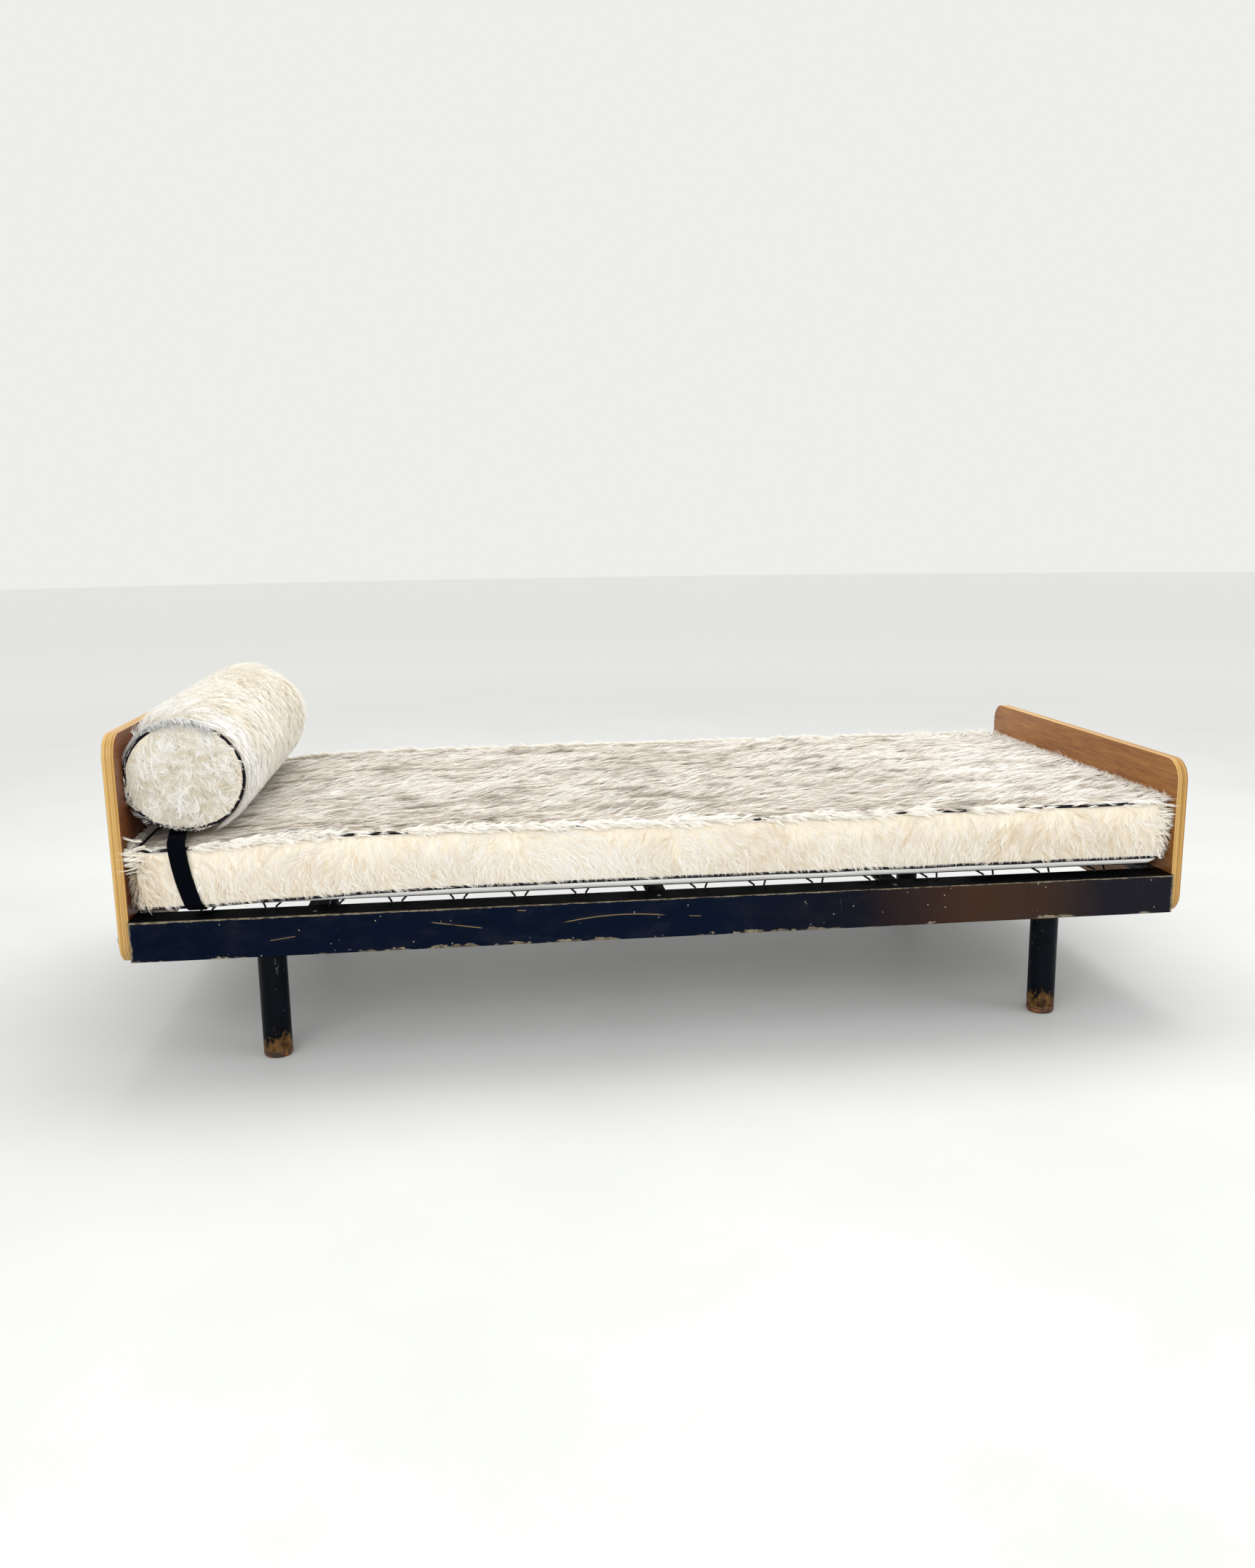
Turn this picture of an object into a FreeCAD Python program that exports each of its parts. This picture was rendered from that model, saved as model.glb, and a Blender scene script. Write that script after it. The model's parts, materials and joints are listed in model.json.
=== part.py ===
import FreeCAD, Part
import math
import os

# A daybed: two plywood end boards, two bent-sheet side rails on four tube legs, a wire net
# hooked between the rails, a loose box mattress, and a bolster held by one webbing loop.
# Millimetres. Origin on the floor under the middle of the bed. +X runs from the head board
# to the foot board, +Y to the back, +Z up.

V = FreeCAD.Vector
X_AXIS = V(1, 0, 0)
Y_AXIS = V(0, 1, 0)
Z_AXIS = V(0, 0, 1)

# Driving dimensions
overall_length = 1900.0
board_thickness = 20.0
board_depth = 840.0
head_height = 582.0
foot_height = 478.0
board_bottom = 186.0
board_corner = 40.0
board_edge_round = 1.5

rail_bottom = 193.5
rail_height = 72.0
rail_proud = 8.0
rail_flange = 56.0
rail_sheet = 2.0
rail_bend = 3.0

leg_diameter = 50.0
leg_wall = 2.0
leg_spacing = 1410.0
leg_inset = 44.0
leg_lid = 4.0
plug_height = 13.0
plug_spigot = 34.0
plug_round = 5.0

side_hook_pitch = 108.0
side_hook_count = 16
end_hook_pitch = 100.0
end_hook_count = 7
hook_wire = 3.6
hook_foot_width = 18.0
hook_arm_width = 42.0
hook_hole = 4.8
hook_hole_inset = 8.0

net_wire = 2.6
net_edge_wire = 3.5
net_height = 270.0
net_margin = 22.0

cross_bar_width = 35.0
cross_bar_thickness = 5.0
cross_bar_places = {"head": -623.0, "middle": -25.0, "foot": 407.0}

mattress_length = 1830.0
mattress_depth = 830.0
mattress_bottom = 279.0
mattress_top = 400.0
seam_low = 296.0
seam_high = 397.0
mattress_corner = 28.0
mattress_top_round = 8.0
mattress_skin = 4.0
piping_diameter = 5.5

bolster_length = 727.0
bolster_diameter = 190.0
bolster_front = -372.0
bolster_centre_x = -831.5
bolster_rise = 14.0
bolster_skin = 4.0

strap_width = 30.0
strap_thickness = 2.0
strap_gap = 0.4
strap_top_round = 4.0
strap_x = -842.0

# Sizes that follow
inner_half = overall_length / 2 - board_thickness
board_front = -board_depth / 2
rail_face = board_front - rail_proud
rail_top = rail_bottom + rail_height
rail_inner = rail_face + rail_flange
leg_y = rail_face + leg_inset
leg_x = leg_spacing / 2
hook_row = rail_inner - hook_hole_inset
net_half_y = -rail_inner - net_margin
SIDES = {"front": 1, "back": -1}
ENDS = {"head": -1, "foot": 1}


def save(name, shape):
    shape.exportStep("parts/" + name + ".step")
    print(name, len(shape.Solids), "solids", round(shape.Volume / 1000.0, 2), "cm3", shape.isValid())


def block(x, y, z):
    """A box between the low and high value on each axis."""
    return Part.makeBox(x[1] - x[0], y[1] - y[0], z[1] - z[0], V(x[0], y[0], z[0]))


def rod(start, end, diameter):
    return Part.makeCylinder(diameter / 2, start.distanceToPoint(end), start, end - start)


def mirror_y(shape, side):
    return shape if side == 1 else shape.mirror(V(0, 0, 0), Y_AXIS)


def edges_along(shape, axis):
    """The straight edges of a shape that run along an axis."""
    straight = [e for e in shape.Edges if e.Curve.TypeId == "Part::GeomLine"]
    return [e for e in straight if abs(e.Curve.Direction.dot(axis)) > 0.999]


def bent_wire(points, diameter, bend):
    """A round wire through points, with an arc of the given radius at each inner point."""
    edges = []
    start = points[0]
    for before, corner, after in zip(points, points[1:], points[2:]):
        into = (before - corner).normalize()
        out = (after - corner).normalize()
        half = into.getAngle(out) / 2
        trim = bend / math.tan(half)
        first = corner + into * trim
        last = corner + out * trim
        bisector = (into + out).normalize()
        middle = corner + bisector * (bend / math.sin(half) - bend)
        edges.append(Part.makeLine(start, first))
        edges.append(Part.Arc(first, middle, last).toShape())
        start = last
    edges.append(Part.makeLine(start, points[-1]))
    path = Part.Wire(edges)
    section = Part.Wire(Part.makeCircle(diameter / 2, points[0], points[1] - points[0]))
    return path.makePipeShell([section], True, True)


# End boards ------------------------------------------------------------------------------

bolt_diameter = 8.0
bolt_hole = 9.0
bolt_head_diameter = 20.0
bolt_head_height = 4.0
washer_diameter = 24.0
washer_thickness = 1.5
nut_width = 13.0
nut_height = 6.5
bolt_tail = 3.0
end_plate_thickness = 3.0
end_plate_width = 90.0
bolt_height = rail_bottom + rail_height / 2
outer_bolt_inset = 24.0
inner_bolt_inset = 70.0
bolt_rows = (rail_face + outer_bolt_inset, rail_face + inner_bolt_inset)


def bolt_places():
    return [(side * y, bolt_height) for side in (1, -1) for y in bolt_rows]


def end_board(end, top):
    x = sorted((end * overall_length / 2, end * inner_half))
    board = block(x, (board_front, -board_front), (board_bottom, top))
    board = board.makeFillet(board_corner, edges_along(board, X_AXIS))
    rims = [e for e in board.Edges if abs(e.BoundBox.XLength) < 0.01]
    board = board.makeFillet(board_edge_round, rims)
    for y, z in bolt_places():
        board = board.cut(rod(V(x[0] - 1, y, z), V(x[1] + 1, y, z), bolt_hole))
    return board


# Side rails --------------------------------------------------------------------------------

stud_diameter = 12.0
stud_hole = 13.0
rivet_diameter = 5.0
rivet_inset = 20.0
rivet_dome_radius = 6.0
rivet_dome_rise = 1.8
bar_end_gap = 1.0


def spaced(count, pitch):
    """Places along an axis, evenly spaced about the middle."""
    return [(i - (count - 1) / 2) * pitch for i in range(count)]


def side_hook_places():
    return spaced(side_hook_count, side_hook_pitch)


def end_hook_places():
    return spaced(end_hook_count, end_hook_pitch)


def front_channel():
    outside = block((-inner_half, inner_half), (rail_face, rail_inner), (rail_bottom, rail_top))
    bends = [e for e in edges_along(outside, X_AXIS) if abs(e.BoundBox.YMin - rail_face) < 0.01]
    outside = outside.makeFillet(rail_bend, bends)
    hollow_z = (rail_bottom + rail_sheet, rail_top - rail_sheet)
    hollow = block((-inner_half, inner_half), (rail_face + rail_sheet, rail_inner + 1), hollow_z)
    bends = [e for e in edges_along(hollow, X_AXIS) if e.BoundBox.YMin < rail_inner]
    hollow = hollow.makeFillet(rail_bend - rail_sheet, bends)
    channel = outside.cut(hollow)
    holes = []
    for x in side_hook_places():
        for step in (-hook_foot_width / 2, hook_foot_width / 2):
            low = V(x + step, hook_row, rail_top - 2 * rail_sheet)
            holes.append(rod(low, low + Z_AXIS * 3 * rail_sheet, hook_hole))
    for end in ENDS.values():
        low = V(end * leg_x, leg_y, rail_bottom - 1)
        holes.append(rod(low, low + Z_AXIS * 2 * rail_sheet, stud_hole))
    for x in cross_bar_places.values():
        low = V(x, rail_face + rivet_inset, rail_top - 2 * rail_sheet)
        holes.append(rod(low, low + Z_AXIS * 3 * rail_sheet, rivet_diameter))
    return channel.cut(Part.makeCompound(holes))


def end_plate(end):
    """A plate inside the end of the front channel, wide enough for the second board bolt."""
    x = sorted((end * inner_half, end * (inner_half - end_plate_thickness)))
    y = (rail_face + rail_sheet, rail_face + end_plate_width)
    z = (rail_bottom + rail_sheet, rail_top - rail_sheet)
    plate = block(x, y, z)
    corner = [e for e in edges_along(plate, X_AXIS) if e.BoundBox.YMax < rail_inner]
    plate = plate.makeFillet(rail_bend - rail_sheet, corner)
    for row in bolt_rows:
        hole = rod(V(x[0] - 1, row, bolt_height), V(x[1] + 1, row, bolt_height), bolt_hole)
        plate = plate.cut(hole)
    return plate


cross_rail_leg = 26.0
cross_rail_sheet = 3.0


def cross_rail(end):
    """A steel angle along the inside of an end board, between the channels' end plates."""
    reach = -(rail_face + end_plate_width)
    back = sorted((end * inner_half, end * (inner_half - cross_rail_sheet)))
    shelf = sorted((end * inner_half, end * (inner_half - cross_rail_leg)))
    upright = block(back, (-reach, reach), (rail_top - cross_rail_leg, rail_top))
    ledge = block(shelf, (-reach, reach), (rail_top - cross_rail_sheet, rail_top))
    angle = upright.fuse(ledge).removeSplitter()
    for y in end_hook_places():
        for step in (-hook_foot_width / 2, hook_foot_width / 2):
            x = end * (inner_half - cross_rail_leg + hook_hole_inset)
            low = V(x, y + step, rail_top - 2 * cross_rail_sheet)
            angle = angle.cut(rod(low, low + Z_AXIS * 3 * cross_rail_sheet, hook_hole))
    return angle


def cross_bar(x):
    """A flat bar under both top flanges. Its middle dips under the net."""
    reach = -rail_face - rail_sheet - bar_end_gap
    top = rail_top - rail_sheet
    places = (x - cross_bar_width / 2, x + cross_bar_width / 2)
    bar = block(places, (-reach, reach), (top - cross_bar_thickness, top))
    for side in SIDES.values():
        low = V(x, side * (rail_face + rivet_inset), top - 2 * cross_bar_thickness)
        bar = bar.cut(rod(low, low + Z_AXIS * 3 * cross_bar_thickness, rivet_diameter))
    return bar


def dome(centre, up, radius, rise):
    """The cap of a sphere that stands rise above centre along the unit vector up."""
    ball = Part.makeSphere(radius, centre + up * (rise - radius))
    return ball.common(Part.makeCylinder(radius, 2 * radius, centre, up))


def rivet(x, side):
    """A rivet with two domed heads, through the flange and the bar below it."""
    y = side * (rail_face + rivet_inset)
    bottom = V(x, y, rail_top - rail_sheet - cross_bar_thickness)
    top = V(x, y, rail_top)
    body = rod(bottom, top, rivet_diameter)
    for seat, up in ((top, Z_AXIS), (bottom, -Z_AXIS)):
        body = body.fuse(dome(seat, up, rivet_dome_radius, rivet_dome_rise))
    return body.removeSplitter()


# Legs --------------------------------------------------------------------------------------

leg_plate_size = (120.0, 84.0)
leg_plate_thickness = 4.0
leg_nut_width = 19.0
leg_nut_height = 9.5
stud_tail = 4.5
stud_length = leg_lid + rail_sheet + leg_plate_thickness + leg_nut_height + stud_tail


def leg(x, side):
    radius = leg_diameter / 2
    foot = V(x, side * leg_y, plug_height)
    tube = Part.makeCylinder(radius, rail_bottom - plug_height, foot)
    bore = Part.makeCylinder(radius - leg_wall, rail_bottom - plug_height - leg_lid, foot)
    low = V(x, side * leg_y, rail_bottom - 2 * leg_lid)
    return tube.cut(bore).cut(rod(low, low + Z_AXIS * 3 * leg_lid, stud_diameter))


def foot_plug(x, side):
    """A turned plug: a rounded toe as wide as the tube, and a spigot up inside it."""
    radius = leg_diameter / 2
    toe = Part.makeCylinder(radius, plug_height, V(x, side * leg_y, 0))
    under = [e for e in toe.Edges if e.BoundBox.ZMax < 0.01]
    toe = toe.makeFillet(plug_round, under)
    spigot = Part.makeCylinder(radius - leg_wall, plug_spigot, V(x, side * leg_y, plug_height))
    return toe.fuse(spigot).removeSplitter()


def leg_plate(x, side):
    low = rail_bottom + rail_sheet
    wide, deep = leg_plate_size
    y = (rail_face + rail_bend, rail_face + rail_bend + deep)
    plate = block((x - wide / 2, x + wide / 2), y, (low, low + leg_plate_thickness))
    start = V(x, leg_y, low - leg_plate_thickness)
    hole = rod(start, start + Z_AXIS * 3 * leg_plate_thickness, stud_hole)
    return mirror_y(plate.cut(hole), side)


def leg_stud(x, side):
    low = V(x, side * leg_y, rail_bottom - leg_lid)
    return rod(low, low + Z_AXIS * stud_length, stud_diameter)


def hexagon_nut(centre, axis, width, height, hole):
    """A hexagon nut whose seat is at centre and whose body goes along axis."""
    corner_radius = width / math.sqrt(3)
    across = Z_AXIS if abs(axis.z) < 0.5 else X_AXIS
    third = axis.cross(across)
    points = []
    for k in range(7):
        a = math.radians(60 * k)
        points.append(centre + (across * math.cos(a) + third * math.sin(a)) * corner_radius)
    body = Part.Face(Part.makePolygon(points)).extrude(axis * height)
    return body.cut(Part.makeCylinder(hole / 2, height, centre, axis))


def leg_nut(x, side):
    seat = V(x, side * leg_y, rail_bottom + rail_sheet + leg_plate_thickness)
    return hexagon_nut(seat, Z_AXIS, leg_nut_width, leg_nut_height, stud_diameter)


# Board bolts -------------------------------------------------------------------------------

def board_bolt(end, y, z):
    """A mushroom-head bolt from outside the board, through the end plate."""
    seat = V(end * (overall_length / 2 + washer_thickness), y, z)
    tip = V(end * (inner_half - end_plate_thickness - nut_height - bolt_tail), y, z)
    rise = bolt_head_height
    dome_radius = (bolt_head_diameter ** 2 / 4 + rise ** 2) / (2 * rise)
    head = dome(seat, X_AXIS * end, dome_radius, rise)
    return rod(seat, tip, bolt_diameter).fuse(head).removeSplitter()


def board_washer(end, y, z):
    face = V(end * overall_length / 2, y, z)
    outer = face + X_AXIS * end * washer_thickness
    return rod(face, outer, washer_diameter).cut(rod(face, outer, bolt_diameter))


def board_nut(end, y, z):
    seat = V(end * (inner_half - end_plate_thickness), y, z)
    return hexagon_nut(seat, X_AXIS * -end, nut_width, nut_height, bolt_diameter)


# Wire net and its hooks --------------------------------------------------------------------

hook_gap = 0.3
hook_bend = (net_edge_wire + hook_wire) / 2 + hook_gap
hook_tail = 5.6


def net_hook(sheet):
    """One wire clip, for a hole row along X at y = 0 and a net edge wire on its +Y side.

    Its foot lies under the sheet, two risers come up through the holes, and two arms splay
    out to the edge wire, bend round the top of it and turn down behind it.
    """
    foot = hook_foot_width / 2
    arm = hook_arm_width / 2
    under = rail_top - sheet - hook_wire / 2 - hook_gap
    above = rail_top + hook_wire
    reach = hook_hole_inset + net_margin
    drop = net_height - above
    slope = math.atan2(drop, reach) + math.asin(hook_bend / math.hypot(drop, reach))
    behind = reach + hook_bend
    over = above + behind * math.tan(slope)
    half = [V(foot, 0, under), V(foot, 0, above), V(arm, behind, over), V(arm, behind, over - hook_tail)]
    other = [V(-p.x, p.y, p.z) for p in reversed(half)]
    return bent_wire(other + half, hook_wire, hook_bend)


def side_hooks(side):
    clip = net_hook(rail_sheet)
    clips = []
    for x in side_hook_places():
        clips.append(mirror_y(clip.translated(V(x, hook_row, 0)), side))
    return Part.makeCompound(clips)


def end_hooks(end):
    clip = net_hook(cross_rail_sheet)
    clip.rotate(V(0, 0, 0), Z_AXIS, 90 * end)
    row = end * (inner_half - cross_rail_leg + hook_hole_inset)
    return Part.makeCompound([clip.translated(V(row, y, 0)) for y in end_hook_places()])


net_half_x = inner_half - cross_rail_leg - net_margin
net_edge_radius = net_edge_wire / 2
net_reach_x = net_half_x - net_edge_radius
net_reach_y = net_half_y - net_edge_radius
cross_wire_lift = 1.1


def net_edges():
    """Two long wires under the side hooks, and two short ones butted between them."""
    corner = net_half_x + net_edge_radius
    long_side = rod(V(-corner, -net_half_y, net_height), V(corner, -net_half_y, net_height), net_edge_wire)
    start = V(-net_half_x, -net_reach_y, net_height)
    short_side = rod(start, start + Y_AXIS * 2 * net_reach_y, net_edge_wire)
    far_long = long_side.mirror(V(0, 0, 0), Y_AXIS)
    far_short = short_side.mirror(V(0, 0, 0), X_AXIS)
    return Part.makeCompound([long_side, far_long, short_side, far_short])


def net_long_wires():
    """Wires along the bed, butted between the two short edge wires."""
    level = net_height - net_edge_radius
    lines = [(V(-net_reach_x, y, level), V(net_reach_x, y, level)) for y in end_hook_places()]
    return Part.makeCompound([rod(start, end, net_wire) for start, end in lines])


def net_cross_wires():
    """Wires across the bed, lying on the long wires."""
    level = net_height + net_edge_radius - net_wire / 2 + cross_wire_lift
    lines = [(V(x, -net_reach_y, level), V(x, net_reach_y, level)) for x in side_hook_places()]
    return Part.makeCompound([rod(start, end, net_wire) for start, end in lines])


# Mattress ----------------------------------------------------------------------------------

def cushion(inset):
    """The mattress's closed form, made smaller all round by inset."""
    half_x = mattress_length / 2 - inset
    half_y = mattress_depth / 2 - inset
    body = block((-half_x, half_x), (-half_y, half_y), (mattress_bottom + inset, mattress_top - inset))
    body = body.makeFillet(mattress_corner, edges_along(body, Z_AXIS))
    under = [e for e in body.Edges if e.BoundBox.ZMax < mattress_bottom + inset + 0.01]
    body = body.makeFillet(seam_low - mattress_bottom - 2 * inset, under)
    over = [e for e in body.Edges if e.BoundBox.ZMin > mattress_top - inset - 0.01]
    return body.makeFillet(mattress_top_round - inset, over)


def piping(level):
    """A cord round the mattress at a seam, sunk by half into the cover."""
    half_x = mattress_length / 2
    half_y = mattress_depth / 2
    start = V(0, -half_y, level)
    turns = [(half_x, -half_y), (half_x, half_y), (-half_x, half_y), (-half_x, -half_y)]
    corners = [V(x, y, level) for x, y in turns]
    return bent_wire([start] + corners + [start], piping_diameter, mattress_corner)


# Bolster -----------------------------------------------------------------------------------

bolster_rest = mattress_top + strap_thickness + 2 * strap_gap + piping_diameter / 2
bolster_level = bolster_rest + bolster_diameter / 2
bolster_start = V(bolster_centre_x, bolster_front, bolster_level)
bolster_axis = V(0, bolster_length, bolster_rise)


def bolster_body(inset):
    """The bolster's closed form, made smaller all round by inset."""
    ends = bolster_axis * (inset / bolster_length)
    return rod(bolster_start + ends, bolster_start + bolster_axis - ends, bolster_diameter - 2 * inset)


def bolster_piping(share):
    """A cord round the bolster's edge, at a share of its length."""
    centre = bolster_start + bolster_axis * share
    return Part.makeTorus(bolster_diameter / 2, piping_diameter / 2, centre, bolster_axis)


# Strap -------------------------------------------------------------------------------------

def strap_loop(out, low_round, top_round):
    """A block round the mattress's section, out from its faces, with rounded corners."""
    reach = mattress_depth / 2 + piping_diameter / 2 + out
    places = (strap_x - strap_width / 2, strap_x + strap_width / 2)
    body = block(places, (-reach, reach), (mattress_bottom - out, mattress_top + out))
    edges = edges_along(body, X_AXIS)
    body_low = [e for e in edges if e.BoundBox.ZMax < mattress_bottom]
    body = body.makeFillet(low_round, body_low)
    body_high = [e for e in edges_along(body, X_AXIS) if e.BoundBox.ZMin > mattress_top]
    return body.makeFillet(top_round, body_high)


def strap():
    """A flat webbing loop round the mattress. It clears the piping, and the bolster lies on it."""
    low_round = seam_low - mattress_bottom
    inside = strap_loop(strap_gap, low_round, strap_top_round)
    out = strap_gap + strap_thickness
    outside = strap_loop(out, low_round + strap_thickness, strap_top_round + strap_thickness)
    return outside.cut(inside)


# Everything --------------------------------------------------------------------------------

os.makedirs("parts", exist_ok=True)

save("head_panel", end_board(-1, head_height))
save("foot_panel", end_board(1, foot_height))

channel = front_channel()
for side_name, side in SIDES.items():
    save(side_name + "_rail", mirror_y(channel, side))
    save(side_name + "_hooks", side_hooks(side))
    for end_name, end in ENDS.items():
        place = side_name + "_" + end_name
        x = end * leg_x
        save("end_plate_" + place, mirror_y(end_plate(end), side))
        save("leg_" + place, leg(x, side))
        save("foot_plug_" + place, foot_plug(x, side))
        save("leg_plate_" + place, leg_plate(x, side))

corners = [(end * leg_x, side) for end in ENDS.values() for side in SIDES.values()]
save("leg_studs", Part.makeCompound([leg_stud(*corner) for corner in corners]))
save("leg_nuts", Part.makeCompound([leg_nut(*corner) for corner in corners]))

for end_name, end in ENDS.items():
    save(end_name + "_cross_rail", cross_rail(end))
    save(end_name + "_hooks", end_hooks(end))
    save(end_name + "_board_bolts", Part.makeCompound([board_bolt(end, *p) for p in bolt_places()]))
    save(end_name + "_board_washers", Part.makeCompound([board_washer(end, *p) for p in bolt_places()]))
    save(end_name + "_board_nuts", Part.makeCompound([board_nut(end, *p) for p in bolt_places()]))

rivets = []
for bar_name, x in cross_bar_places.items():
    save("cross_bar_" + bar_name, cross_bar(x))
    rivets += [rivet(x, side) for side in SIDES.values()]
save("cross_bar_rivets", Part.makeCompound(rivets))

save("net_edge_wires", net_edges())
save("net_long_wires", net_long_wires())
save("net_cross_wires", net_cross_wires())

low_piping = piping(seam_low)
high_piping = piping(seam_high)
core = cushion(mattress_skin)
save("mattress_core", core)
save("mattress_cover", cushion(0).cut(core).cut(low_piping).cut(high_piping))
save("mattress_piping_bottom", low_piping)
save("mattress_piping_top", high_piping)

front_ring = bolster_piping(0)
back_ring = bolster_piping(1)
filling = bolster_body(bolster_skin)
save("bolster_core", filling)
save("bolster_cover", bolster_body(0).cut(filling).cut(front_ring).cut(back_ring))
save("bolster_piping_front", front_ring)
save("bolster_piping_back", back_ring)
save("bolster_strap", strap())
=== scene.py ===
import json
import math

import bmesh
import bpy
import numpy as np
from mathutils import Matrix, Vector


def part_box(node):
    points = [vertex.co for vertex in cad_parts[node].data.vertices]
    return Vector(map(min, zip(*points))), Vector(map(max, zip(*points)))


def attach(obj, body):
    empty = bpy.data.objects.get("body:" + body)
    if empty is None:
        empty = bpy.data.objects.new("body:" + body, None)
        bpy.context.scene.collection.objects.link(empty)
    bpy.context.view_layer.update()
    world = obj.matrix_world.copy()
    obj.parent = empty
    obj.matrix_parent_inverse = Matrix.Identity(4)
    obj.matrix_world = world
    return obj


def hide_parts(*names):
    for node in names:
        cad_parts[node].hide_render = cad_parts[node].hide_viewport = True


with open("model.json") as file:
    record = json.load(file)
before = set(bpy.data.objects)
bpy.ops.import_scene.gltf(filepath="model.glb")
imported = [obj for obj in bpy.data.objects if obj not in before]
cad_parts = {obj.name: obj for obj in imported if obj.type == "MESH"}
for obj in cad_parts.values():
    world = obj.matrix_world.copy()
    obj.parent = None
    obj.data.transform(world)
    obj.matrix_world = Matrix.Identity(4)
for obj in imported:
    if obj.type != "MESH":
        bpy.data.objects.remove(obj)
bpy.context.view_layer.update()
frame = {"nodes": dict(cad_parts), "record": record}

# A daybed with steel rails, plywood end boards and a long-haired hide mattress and bolster.
# Metres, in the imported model's frame: +X from the head board to the foot board, +Y to the
# back, +Z up, the floor at 0.

scene = bpy.context.scene
X_AXIS = np.array([1.0, 0.0, 0.0])
Z_AXIS = np.array([0.0, 0.0, 1.0])


# Camera, floor and light

CAMERA_PLACE = (-0.3179, -2.5382, 0.8833)
CAMERA_HEADING = math.radians(6.41)
CAMERA_PITCH = math.radians(-10.94)
CAMERA_ROLL = math.radians(-0.815)
CAMERA_LENS = 28.8


def link(name, data):
    made = bpy.data.objects.new(name, data)
    scene.collection.objects.link(made)
    return made


def make_camera():
    data = bpy.data.cameras.new("camera")
    data.lens = CAMERA_LENS
    data.clip_end = 100.0
    camera = link("camera", data)
    heading = Matrix.Rotation(-CAMERA_HEADING, 4, "Z")
    pitch = Matrix.Rotation(math.pi / 2 + CAMERA_PITCH, 4, "X")
    roll = Matrix.Rotation(CAMERA_ROLL, 4, "Z")
    camera.matrix_world = Matrix.Translation(CAMERA_PLACE) @ heading @ pitch @ roll
    scene.camera = camera


def area_light(name, place, target, size, power, colour):
    data = bpy.data.lights.new(name, "AREA")
    data.shape = "RECTANGLE"
    data.size, data.size_y = size
    data.energy = power
    data.color = colour
    lamp = link(name, data)
    lamp.location = place
    lamp.rotation_euler = (Vector(target) - Vector(place)).to_track_quat("-Z", "Y").to_euler()


def make_lights():
    world = bpy.data.worlds.new("studio")
    world.use_nodes = True
    background = world.node_tree.nodes["Background"]
    background.inputs["Color"].default_value = (0.97, 0.97, 0.955, 1.0)
    background.inputs["Strength"].default_value = 0.88
    scene.world = world
    area_light("key", (0.3, 1.0, 3.1), (0.0, 0.1, 0.2), (3.4, 1.8), 78.0, (1.0, 0.99, 0.97))
    area_light("front", (-1.3, -3.9, 2.1), (0.0, -0.3, 0.3), (3.4, 2.2), 68.0, (1.0, 0.985, 0.96))
    area_light("side", (3.3, -1.9, 1.5), (0.0, -0.2, 0.4), (2.0, 2.0), 20.0, (1.0, 1.0, 1.0))


scene.view_settings.view_transform = "Standard"
make_camera()
make_lights()


# Materials

def paint(red, green, blue):
    """A colour from display values of 0 to 255."""
    parts = []
    for value in (red, green, blue):
        share = value / 255.0
        parts.append(share / 12.92 if share <= 0.04045 else ((share + 0.055) / 1.055) ** 2.4)
    return (*parts, 1.0)


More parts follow.
